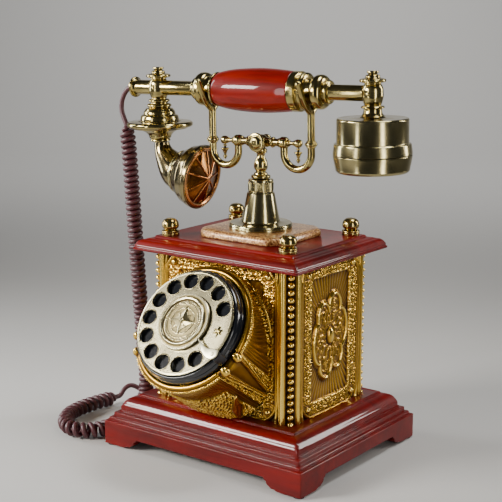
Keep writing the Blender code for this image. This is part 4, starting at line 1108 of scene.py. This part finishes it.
def make_dial_fixed():
    """What stays still round the wheel: black surround, number plate and the lug under the finger stop."""
    surround = [(0.0487, -0.0018), (0.0493, -0.0020, 0.3), (0.0498, -0.0024), (0.0505, -0.0044, 0.1),
                (0.0508, -0.0056), (0.0505, -0.0060, -0.4), (0.0511, -0.0066, 0.3), (0.0520, -0.0095, 0.15),
                (0.0520, -0.0115), (0.0440, -0.0115), (0.0440, -0.0060), (0.0470, -0.0059), (0.0480, -0.0050)]
    turned("black_surround", surround, BLACK, DIAL, "desk_base", ["dial_surround"], steps=128, ring=True)
    plate = [(0.0470, -0.0041), (0.0470, -0.0055), (0.0042, -0.0055), (0.0042, -0.0041)]
    turned("black_number_plate", plate, BLACK, DIAL, "desk_base", ["number_plate"], steps=96, ring=True)
    lug = mesh_object("stop_lug", *box_faces((0, 0, -0.00365), (0.0050, 0.0085, 0.0127)), smooth=False)
    x, y = dial_xy(0.0511, LUG_ANGLE)
    soften(lug, 0.0009, segments=3)
    settle(lug, BLACK, at(DIAL, x, y) @ Matrix.Rotation(LUG_ANGLE, 4, "Z"), "desk_base")


# ---------------------------------------------------------------- stand, finials and cradle
def make_stand():
    """On the top board: the bell-shaped stand, its knurled nut and four onion finials."""
    stand = [(0.0118, 0.2350), (0.0124, 0.2346), (0.0172, 0.2096), (0.0176, 0.2088, -0.3), (0.0190, 0.2083),
             (0.0268, 0.2078), (0.0284, 0.2066, 0.45), (0.0286, 0.2058), (0.0280, 0.2052, -0.3),
             (0.0285, 0.2046, 0.3), (0.0285, 0.2031), (0.0042, 0.2031), (0.0042, 0.2350)]
    turned("bell_stand", stand, NICKEL, COLUMN, "desk_base", ["stand_base"], ring=True)
    collar = [(0.0096, 0.2472), (0.0108, 0.2469), (0.0113, 0.2462, 0.3), (0.0113, 0.2446), (0.0110, 0.2444),
              (0.0115, 0.2440), (0.0115, 0.2370), (0.0110, 0.2366), (0.0114, 0.2362), (0.0114, 0.2355),
              (0.0042, 0.2353), (0.0042, 0.2472)]
    turned("knurled_nut", collar, NICKEL, COLUMN, "desk_base", ["knurled_collar"], steps=360, ring=True,
           edge=0.0001, ripple=(60, 0.00045, 0.2367, 0.2443))
    low = 0.1960
    finial = [(0.0, low + 0.0150), (0.0076, low + 0.0095, 0.52), (0.0052, low + 0.0054, 0.40),
              (0.0056, low + 0.0050, -0.3), (0.0074, low + 0.0044), (0.0081, low + 0.0036, 0.35),
              (0.0076, low + 0.0026, -0.25), (0.0080, low + 0.0018, 0.3), (0.0078, low), (0.0, low)]
    for index, (sx, sy) in enumerate(((-1, -1), (1, -1), (1, 1), (-1, 1)), 1):
        turned(f"onion_finial_{index}", finial, OLD_BRASS, at(COLUMN, sx * 0.0647, sy * 0.0492), "desk_base",
               [f"finial_{index}"], steps=64)


def make_cradle_middle():
    """The stem, which slides in the stand, and the boss where the bar crosses it."""
    stem = [(0.0, 0.2744), (0.0046, 0.2742), (0.0056, 0.2730, 0.4), (0.0050, 0.2716, 0.3),
            (0.0058, 0.2708, 0.3), (0.0036, 0.2686, -0.3), (0.0040, 0.2660, -0.1), (0.0062, 0.2592, 0.15),
            (0.0054, 0.2552, 0.15), (0.0046, 0.2530, -0.3), (0.0060, 0.2520, 0.4), (0.0062, 0.2512),
            (0.0080, 0.2504), (0.0087, 0.2492, 0.4), (0.0082, 0.2480, 0.3), (0.0070, 0.2475),
            (0.0035, 0.2475), (0.0035, 0.1710), (0.0012, 0.1680), (0.0, 0.1680)]
    turned("baluster_stem", stem, BRASS, COLUMN, "cradle", ["plunger_stem"], steps=72)
    joint = [(0.0, 0.0108), (0.0052, 0.0096, 0.25), (0.0062, 0.0092, -0.3), (0.0080, 0.0088),
             (0.0085, 0.0076, 0.4), (0.0078, 0.0062, 0.3), (0.0050, 0.0050, -0.3), (0.0056, 0.0030, 0.2),
             (0.0056, -0.0046, 0.25), (0.0042, -0.0064, -0.2), (0.0058, -0.0074, 0.4),
             (0.0060, -0.0096, 0.15), (0.0050, -0.0104, -0.3), (0.0044, -0.0120, 0.3), (0.0, -0.0126, 0.2)]
    turned("cross_boss", joint, BRASS, CRADLE @ ALONG_FRONT, "cradle", ["cross_joint"], steps=64)


# Along the bar from its middle: the hook's two legs and the ball that the drop hangs from.
HOOK_INNER, HOOK_OUTER, BALL_END = 0.0240, 0.0516, 0.0385


def make_cradle_side(name, sign):
    """One half of the bar, its hook, fork and hanging drop; sign is -1 on the left."""
    turn = CRADLE @ Matrix.Rotation(sign * math.pi / 2, 4, "Y")
    bar = [(0.0, 0.0423), (0.0037, 0.0385, 0.52), (0.0021, 0.0353, 0.35), (0.0026, 0.0347, 0.5),
           (0.0018, 0.0340, 0.3), (0.0018, 0.0300), (0.0030, 0.0294, 0.4), (0.0030, 0.0285, 0.3),
           (0.0024, 0.0281, -0.3), (0.0053, 0.0240, 0.48), (0.0034, 0.0198, 0.40), (0.0042, 0.0192, 0.5),
           (0.0034, 0.0186, 0.4), (0.0033, 0.0140), (0.0046, 0.0132, 0.45), (0.0046, 0.0120, 0.45),
           (0.0038, 0.0112, -0.3), (0.0042, 0.0062), (0.0, 0.0062)]
    turned(f"turned_bar_{name}", bar, BRASS, turn, "cradle", [f"bar_{name}"], steps=56, edge=0.0001)
    end = sign * BALL_END
    drop = [(0.0, -0.0036), (0.0011, -0.0042), (0.0018, -0.0050, 0.6), (0.0009, -0.0060, 0.4),
            (0.0010, -0.0070), (0.0034, -0.0076, 0.3), (0.0036, -0.0084, 0.4), (0.0018, -0.0112, -0.2),
            (0.0010, -0.0136, -0.1), (0.0018, -0.0148, 0.5), (0.0010, -0.0160, 0.4), (0.0012, -0.0164),
            (0.0, -0.0174, 0.3)]
    turned(f"hanging_drop_{name}", drop, BRASS, at(CRADLE, end), "cradle", steps=32, edge=0)
    middle, radius = (HOOK_INNER + HOOK_OUTER) / 2, (HOOK_OUTER - HOOK_INNER) / 2
    legs = [Vector((HOOK_INNER, 0, -0.0038)), Vector((HOOK_INNER, 0, -0.0060))]
    legs += turn_arc((middle, -0.0091), radius, math.pi, 2 * math.pi, 41)
    legs += [Vector((HOOK_OUTER, 0, 0.0262))]
    pipe(f"bent_hook_{name}", [(sign * p.x, p.y, p.z) for p in legs], 0.0034, BRASS, CRADLE, "cradle",
         [f"hook_{name}"])
    collar = [(0.0034, 0.0030), (0.0042, 0.0026, 0.4), (0.0042, 0.0018, 0.5), (0.0050, 0.0013, 0.4),
              (0.0056, 0.0000, 0.3), (0.0050, -0.0013, 0.3), (0.0042, -0.0018, 0.4), (0.0042, -0.0026, 0.5),
              (0.0034, -0.0030, 0.4)]
    turned(f"hook_collar_{name}", collar, BRASS, at(CRADLE, sign * HOOK_OUTER), "cradle", steps=48, edge=0)
    cap = [(0.0, 0.0296), (0.0030, 0.0285, 0.4), (0.0036, 0.0268, 0.3), (0.0030, 0.0256, 0.3),
           (0.0026, 0.0250)]
    turned(f"fork_root_{name}", cap, BRASS, at(CRADLE, sign * HOOK_OUTER), "cradle", steps=40, edge=0)
    prong = [(0.0, 0.0276), (0.0030, 0.0289), (0.0086, 0.0335), (0.0145, 0.0410), (0.0190, 0.0486),
             (0.0230, 0.0553)]
    step, tip = 0.0007, 0.0022
    for side, way in (("front", -1), ("back", 1)):
        line = smooth_line([(sign * HOOK_OUTER, way * a, h) for a, h in prong], step)
        taper = []
        for k in range(len(line)):
            left = (len(line) - 1 - k) * step / tip
            taper.append(math.sqrt(max(0.02, 1 - (1 - min(left, 1.0)) ** 2)) * (1.12 - 0.12 * k / len(line)))
        stands = [f"fork_{name}"] if way < 0 else ()
        pipe(f"prong_{side}_{name}", line, 0.0027, BRASS, CRADLE, "cradle", stands, radii=taper)


# ---------------------------------------------------------------- handset
POST_LEFT, POST_RIGHT = -0.1124, 0.1102


def make_grip():
    """The wooden grip with a turned arm at each end and the gland where the cord leaves."""
    along = HANDSET @ ALONG_X
    swell = [(0.0174, 0.0345), (0.0188, 0.0200), (0.0196, 0.0040), (0.0193, -0.0120), (0.0180, -0.0290),
             (0.0158, -0.0410), (0.0143, -0.0447)]
    side = [(p.x, p.y) for p in smooth_line([(*p, 0) for p in swell], 0.0012)]
    turned("mahogany_barrel", [(0.0, 0.0350), (0.0170, 0.0350)] + side + [(0.0138, -0.0450), (0.0, -0.0450)],
           GRIP_WOOD, along, "handset", ["grip_barrel"], steps=128)
    right = [(0.0045, 0.1035), (0.0068, 0.1035), (0.0068, 0.0712), (0.0078, 0.0706, -0.4),
             (0.0098, 0.0700, 0.2), (0.0102, 0.0684, 0.5), (0.0092, 0.0668, 0.3), (0.0094, 0.0662, -0.4),
             (0.0150, 0.0600, 0.50), (0.0122, 0.0552, 0.30), (0.0114, 0.0546, -0.3), (0.0112, 0.0518, -0.1),
             (0.0115, 0.0490, -0.1), (0.0158, 0.0478, 0.2), (0.0165, 0.0462, 0.4), (0.0150, 0.0432, 0.2),
             (0.0152, 0.0428, -0.4), (0.0168, 0.0422), (0.0176, 0.0414, 0.4), (0.0178, 0.0360),
             (0.0174, 0.0353, 0.3), (0.0045, 0.0353)]
    turned("arm_right", right, BRASS, along, "handset", ["handset_arm_right"], ring=True)
    left = [(0.0045, -0.0453), (0.0150, -0.0453), (0.0153, -0.0464, 0.4), (0.0146, -0.0476, 0.3),
            (0.0118, -0.0488, -0.2), (0.0113, -0.0516, -0.1), (0.0118, -0.0544, -0.1), (0.0124, -0.0552, 0.3),
            (0.0150, -0.0600, 0.30), (0.0096, -0.0660, 0.50), (0.0094, -0.0666, -0.4), (0.0102, -0.0682, 0.4),
            (0.0096, -0.0698, 0.4), (0.0076, -0.0706, -0.3), (0.0068, -0.0712, -0.3), (0.0068, -0.1062),
            (0.0045, -0.1062)]
    turned("arm_left", left, BRASS, along, "handset", ["handset_arm_left"], ring=True)
    gland = [(0.0067, -0.1185), (0.0067, -0.1345), (0.0074, -0.1364, -0.2), (0.0092, -0.1382, -0.3),
             (0.0095, -0.1394, 0.4), (0.0088, -0.1408, 0.4), (0.0050, -0.1410), (0.0030, -0.1396, -0.4),
             (0.0028, -0.1190)]
    turned("bell_gland", gland, BRASS, along, "handset", ["cord_gland"], steps=72, ring=True)


def post_top():
    """Both posts' knob, disc and baluster, from the top down."""
    return [(0.0, 0.0191), (0.0044, 0.0190), (0.0050, 0.0184, 0.4), (0.0050, 0.0172, 0.2),
            (0.0040, 0.0166, -0.3), (0.0040, 0.0156), (0.0060, 0.0150, 0.4), (0.0062, 0.0138, 0.3),
            (0.0072, 0.0130, -0.3), (0.0102, 0.0122, 0.1), (0.0113, 0.0110, 0.5), (0.0104, 0.0097, 0.5),
            (0.0074, 0.0090, 0.1), (0.0070, 0.0080, -0.4), (0.0090, 0.0010, 0.20), (0.0086, -0.0050, 0.12),
            (0.0070, -0.0096, 0.10)]


def make_posts():
    """The two upright balusters at the arms' ends, pinned front and back."""
    left = post_top() + [(0.0072, -0.0104, -0.3), (0.0094, -0.0111, 0.4), (0.0094, -0.0128, 0.6),
                         (0.0080, -0.0135, 0.2), (0.0082, -0.0146, -0.3), (0.0108, -0.0154, 0.4),
                         (0.0112, -0.0170, 0.5), (0.0100, -0.0180, 0.2), (0.0110, -0.0188, -0.3),
                         (0.0134, -0.0206, 0.35), (0.0148, -0.0238, 0.25), (0.0160, -0.0250, -0.3),
                         (0.0176, -0.0270, 0.3), (0.0180, -0.0299, 0.1), (0.0, -0.0299)]
    turned("baluster_left", left, BRASS, at(HANDSET, POST_LEFT), "handset", ["post_left"], steps=72)
    right = post_top() + [(0.0072, -0.0102, -0.4), (0.0098, -0.0108, 0.4), (0.0098, -0.0120, 0.5),
                          (0.0078, -0.0128, -0.3), (0.0080, -0.0150, -0.1), (0.0092, -0.0176, -0.2),
                          (0.0110, -0.0193, -0.2), (0.0, -0.0193)]
    turned("baluster_right", right, BRASS, at(HANDSET, POST_RIGHT), "handset", ["post_right"], steps=72)
    pin = [(0.0, 0.0010), (0.0016, 0.0008, 0.3), (0.0018, 0.0), (0.0, -0.0004)]
    for side, x in (("left", POST_LEFT), ("right", POST_RIGHT)):
        for face, way in (("front", -1), ("back", 1)):
            place = at(HANDSET, x, way * 0.0089) @ Matrix.Rotation(-way * math.pi / 2, 4, "X")
            turned(f"post_pin_{side}_{face}", pin, BRASS, place, "handset", steps=24, edge=0)


BELL_PITCH = math.radians(9.0)
BELL_AT = Vector((0.0236, 0.0, -0.0775))
HORN_R = 0.0178


def make_transmitter():
    """Under the left post: the wide disc, the smoked horn that swells to its bell, and the bell."""
    disc = [(0.0040, -0.0302), (0.0200, -0.0303), (0.0206, -0.0308, -0.3), (0.0282, -0.0314, 0.05),
            (0.0302, -0.0322, 0.3), (0.0309, -0.0338, 0.3), (0.0302, -0.0356, 0.3), (0.0272, -0.0368, 0.2),
            (0.0262, -0.0373, -0.4), (0.0240, -0.0378, 0.4), (0.0160, -0.0398, -0.15),
            (0.0106, -0.0444, -0.15), (0.0086, -0.0476, 0.3), (0.0094, -0.0484, 0.3), (0.0090, -0.0496, 0.4),
            (0.0076, -0.0500), (0.0045, -0.0500)]
    turned("wide_disc", disc, BRASS, at(HANDSET, POST_LEFT), "handset", ["transmitter_disc"], steps=112)
    ahead = Vector((math.cos(BELL_PITCH), 0, -math.sin(BELL_PITCH)))
    knots = [Vector((0.0020, 0, -0.0505)), Vector((0.0021, 0, -0.0545)), Vector((0.0042, 0, -0.0605)),
             Vector((0.0086, 0, -0.0668)), Vector((0.0136, 0, -0.0722)), BELL_AT - ahead * 0.0045,
             BELL_AT - ahead * GAP]
    swell = [0.39, 0.42, 0.51, 0.67, 0.83, 0.95, 1.0]
    paired = smooth_line([(k / (len(swell) - 1), s, 0) for k, s in enumerate(swell)], 0.01)
    line = smooth_line(knots, 0.0006)
    reach = lengths_along(line)
    knot_reach = [reach[min(range(len(line)), key=lambda i: (line[i] - knot).length)] for knot in knots]
    shares = np.interp(reach, knot_reach, np.linspace(0, 1, len(knots)))
    radii = np.interp(shares, [p.x for p in paired], [p.y for p in paired])
    reach_out = 9
    weights = np.hanning(2 * reach_out + 1)
    padded = np.pad(radii, reach_out, "reflect", reflect_type="odd")
    radii = np.convolve(padded, weights / weights.sum(), "valid")
    pipe("elbow_horn", line, HORN_R, SMOKED_BRASS, at(HANDSET, POST_LEFT), "handset", ["transmitter_horn"],
         radii=list(radii), sides=14)
    bell_turn = Matrix.Rotation(math.pi / 2 + BELL_PITCH, 4, "Y")
    bell_place = at(HANDSET, POST_LEFT + BELL_AT.x, 0, BELL_AT.z) @ bell_turn
    band = [(0.0196, 0.0082), (0.0222, 0.0076, 0.3), (0.0228, 0.0066, 0.4), (0.0214, 0.0052, -0.2),
            (0.0200, 0.0010), (0.0202, -0.0004, 0.3), (0.0196, -0.0018, 0.4), (0.0178, -0.0020),
            (0.0178, 0.0)]
    turned("horn_band", band, NICKEL, bell_place, "handset", steps=112, edge=0.0001)
    bell = [(0.0284, 0.0240), (0.0296, 0.0238, 0.4), (0.0300, 0.0232, 0.4), (0.0300, 0.0208),
            (0.0297, 0.0200, 0.3), (0.0292, 0.0180, -0.1), (0.0272, 0.0118, -0.04), (0.0232, 0.0055, -0.04),
            (0.0190, 0.0), (0.0165, 0.0), (0.0206, 0.0060), (0.0246, 0.0122), (0.0264, 0.0185),
            (0.0266, 0.0205), (0.0268, 0.0240)]
    turned("flared_bell", bell, SMOKED_BRASS, bell_place, "handset", ["mouthpiece_bell"], steps=128,
           ring=True)
    make_grille(bell_place)


def make_grille(place):
    """The mouthpiece's face: a shallow bronze cone under raised copper ribs that meet at its tip."""
    def cone(radius):
        return 0.0312 - 0.0084 * (radius / 0.026) ** 1.08

    profile = [(0.0, cone(0))] + [(r, cone(r)) for r in (0.003, 0.007, 0.012, 0.017, 0.022, 0.026)]
    profile += [(0.0262, 0.0218), (0.0, 0.0216)]
    turned("bronze_cone", profile, BRONZE, place, "handset", ["mouthpiece_grille"], steps=96, edge=0)
    rim = [(0.0246, 0.0236), (0.0252, 0.0246, 0.4), (0.0272, 0.0249, 0.4), (0.0284, 0.0240, 0.4),
           (0.0268, 0.0230)]
    turned("copper_rim", rim, COPPER, place, "handset", steps=96, edge=0)
    for k in range(9):
        a = 2 * math.pi * (k + 0.35) / 9
        rib = [(r * math.cos(a), r * math.sin(a), cone(r) + 0.0004) for r in np.linspace(0.0254, 0.0022, 12)]
        pipe(f"copper_rib_{k + 1}", rib, 0.00085, COPPER, place, "handset", sides=4)
    ball("grille_button", (0.0030, 0.0030, 0.0010), COPPER, at(place, 0, 0, 0.0308), "handset")


def make_receiver():
    """Under the right post: the receiver's drum and its dished cap, with black discs of painted shade for a
    hole in its middle and two rings of holes round it."""
    place = at(HANDSET, POST_RIGHT)
    shell = [(0.0108, -0.0196), (0.0112, -0.0198), (0.0290, -0.0203), (0.0303, -0.0208, 0.35),
             (0.0307, -0.0222, 0.3), (0.0307, -0.0406), (0.0310, -0.0412, -0.3), (0.0322, -0.0416, 0.3),
             (0.0328, -0.0424, 0.3), (0.0337, -0.0490), (0.0337, -0.0506), (0.0330, -0.0508),
             (0.0310, -0.0508), (0.0290, -0.0400), (0.0285, -0.0230), (0.0040, -0.0222), (0.0040, -0.0196)]
    turned("receiver_drum", shell, NICKEL, place, "handset", ["receiver_shell"], steps=144, ring=True)
    cap = [(0.0308, -0.0512), (0.0334, -0.0512), (0.0337, -0.0516), (0.0336, -0.0532), (0.0316, -0.0630),
           (0.0308, -0.0648, 0.3), (0.0286, -0.0660, 0.4), (0.0266, -0.0658, 0.2), (0.0100, -0.0592, -0.10),
           (0.0, -0.0588), (0.0, -0.0572), (0.0250, -0.0630), (0.0285, -0.0625), (0.0308, -0.0555)]
    turned("receiver_ear_cap", cap, NICKEL, place, "handset", ["receiver_cap"], steps=144)
    # flat black discs on the cap: painted shade where holes would be
    hole = [(0.0, 0.0002), (0.0011, 0.0001), (0.0012, -0.0002), (0.0, -0.0002)]
    for ring, (radius, count) in enumerate(((0.0, 1), (0.0040, 6), (0.0078, 12))):
        for k in range(count):
            x, y = dial_xy(radius, 2 * math.pi * k / count)
            spot = at(place, x, y, -0.0591) @ Matrix.Rotation(math.pi, 4, "X")
            turned(f"ear_hole_{ring}_{k + 1}", hole, SATIN_BLACK, spot, "handset", steps=16, edge=0)


# ---------------------------------------------------------------- cord
TAIL_TOP = [(-0.1414, -0.0099, 0.3226), (-0.1470, -0.0102, 0.3212), (-0.1525, -0.0105, 0.3160),
            (-0.1560, -0.0108, 0.3080), (-0.1562, -0.0110, 0.3000), (-0.1535, -0.0112, 0.2930),
            (-0.1505, -0.0113, 0.2872)]
CURL = [(-0.1503, -0.0113, 0.2866), (-0.1468, -0.0122, 0.2650), (-0.1437, -0.0130, 0.2350),
        (-0.1412, -0.0130, 0.2000), (-0.1395, -0.0118, 0.1600), (-0.1382, -0.0096, 0.1150),
        (-0.1372, -0.0068, 0.0700), (-0.1364, -0.0048, 0.0400), (-0.1346, -0.0085, 0.0210),
        (-0.1310, -0.0200, 0.0115), (-0.1268, -0.0360, 0.0084), (-0.1235, -0.0540, 0.0082),
        (-0.1228, -0.0710, 0.0082), (-0.1262, -0.0860, 0.0082), (-0.1345, -0.0955, 0.0082),
        (-0.1460, -0.0985, 0.0082), (-0.1590, -0.0940, 0.0082), (-0.1705, -0.0835, 0.0082),
        (-0.1785, -0.0690, 0.0082), (-0.1815, -0.0520, 0.0082), (-0.1812, -0.0350, 0.0082),
        (-0.1790, -0.0190, 0.0082), (-0.1762, -0.0060, 0.0084)]
TAIL_BASE = [(-0.1760, -0.0050, 0.0084), (-0.1752, -0.0010, 0.0092), (-0.1736, 0.0040, 0.0150),
             (-0.1700, 0.0095, 0.0178), (-0.1640, 0.0155, 0.0140), (-0.1575, 0.0215, 0.0070),
             (-0.1500, 0.0275, 0.0032), (-0.1420, 0.0330, 0.0030), (-0.1340, 0.0390, 0.0060),
             (-0.1275, 0.0430, 0.0120), (-0.1230, 0.0450, 0.0162), (-0.1200, 0.0455, 0.01735),
             (-0.1171, 0.0455, 0.01735)]
CURL_R, WIRE_R = 0.00775, 0.00245
COIL_R = CURL_R - WIRE_R - 0.0002  # of the wire's own centre line, just inside the curl's outer radius
PITCH, LOOSE_PITCH = 0.0054, 0.0074
SWELL_RUN = 0.009  # how far along the line the coils take to open out


def helix_round(line, radius, pitch_at, per_turn):
    """Points of a helix round a line; it swells out of the line over its first coils and sinks back into it
    over its last."""
    lengths = lengths_along(line)
    total = lengths[-1]
    side = UP.cross(line[1] - line[0]).cross(line[1] - line[0]).normalized()
    points, s, turn, k = [], 0.0, 0.0, 0
    while s < total:
        while k < len(line) - 2 and lengths[k + 1] < s:
            k += 1
        ahead = (line[k + 1] - line[k]).normalized()
        centre = line[k] + ahead * (s - lengths[k])
        side = (side - ahead * side.dot(ahead)).normalized()
        other = ahead.cross(side)
        nearest = min(1.0, s / SWELL_RUN, (total - s) / SWELL_RUN)
        grow = nearest * nearest * (3 - 2 * nearest)
        points.append(centre + radius * grow * (math.cos(turn) * side + math.sin(turn) * other))
        turn += 2 * math.pi / per_turn
        s += pitch_at(s / total) / per_turn
    return points


def loosen(share):
    """The coils' pitch: tight where the cord hangs, a little open on the desk."""
    return PITCH + (LOOSE_PITCH - PITCH) * max(0.0, min(1.0, (share - 0.60) / 0.08)) * (share < 0.97)


def tube(name, line, radius, sides):
    """A closed mesh tube along a line, its rings turned as little as possible from one to the next."""
    rings = []
    turns = [2 * math.pi * j / sides for j in range(sides)]
    side = UP.cross(line[1] - line[0]).normalized()
    for k, point in enumerate(line):
        ahead = (line[min(k + 1, len(line) - 1)] - line[max(k - 1, 0)]).normalized()
        side = (side - ahead * side.dot(ahead)).normalized()
        other = ahead.cross(side)
        rings.append([point + radius * (math.cos(a) * side + math.sin(a) * other) for a in turns])
    return mesh_object(name, *closed_rings(rings))


def make_cord():
    """One cord from the handset's gland to the socket; it hangs from the handset."""
    coils = helix_round(smooth_line(CURL, 0.001), COIL_R, loosen, per_turn=18)
    route = smooth_line(TAIL_TOP, 0.0012)[:-1] + coils[1:-1] + smooth_line(TAIL_BASE, 0.0012)[1:]
    route = [COLUMN @ point for point in route]
    cord = tube("curly_cord", route, WIRE_R, sides=10)
    cord.data.materials.append(CORD)
    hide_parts("cord_tail_handset", "cord_curl", "cord_tail_base")
    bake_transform(cord)


# ---------------------------------------------------------------- what stays as its solid
def paint_the_rest():
    """The solids with no piece of their own keep their shape and get a finish."""
    finishes = {
        SATIN_BLACK: ("handset_jack", "line_jack", "bottom_cover", "transmitter_capsule", "receiver_capsule"),
        STEEL: ("mechanism_plate", "dial_spindle", "governor_rotor", "ringer_gong", "ringer_clapper",
                "hook_switch_lever", "hook_switch_bracket"),
        IRON: ("ballast_weight",),
        WINDING: ("ringer_coil",),
        BOARD: ("circuit_board",),
        CLEAR: ("handset_plug",),
        FELT: ("foot_pad_1", "foot_pad_2", "foot_pad_3", "foot_pad_4"),
    }
    for material, nodes in finishes.items():
        for node in nodes:
            repaint(node, material)


set_camera()
make_cord()
set_stage()
make_plinth()
make_top_plate()
make_pad()
make_body()
make_dial_housing()
make_finger_wheel()
make_medallion()
make_emblem()
make_finger_stop()
make_dial_fixed()
make_stand()
make_cradle_middle()
make_cradle_side("left", -1)
make_cradle_side("right", 1)
make_grip()
make_posts()
make_transmitter()
make_receiver()
paint_the_rest()
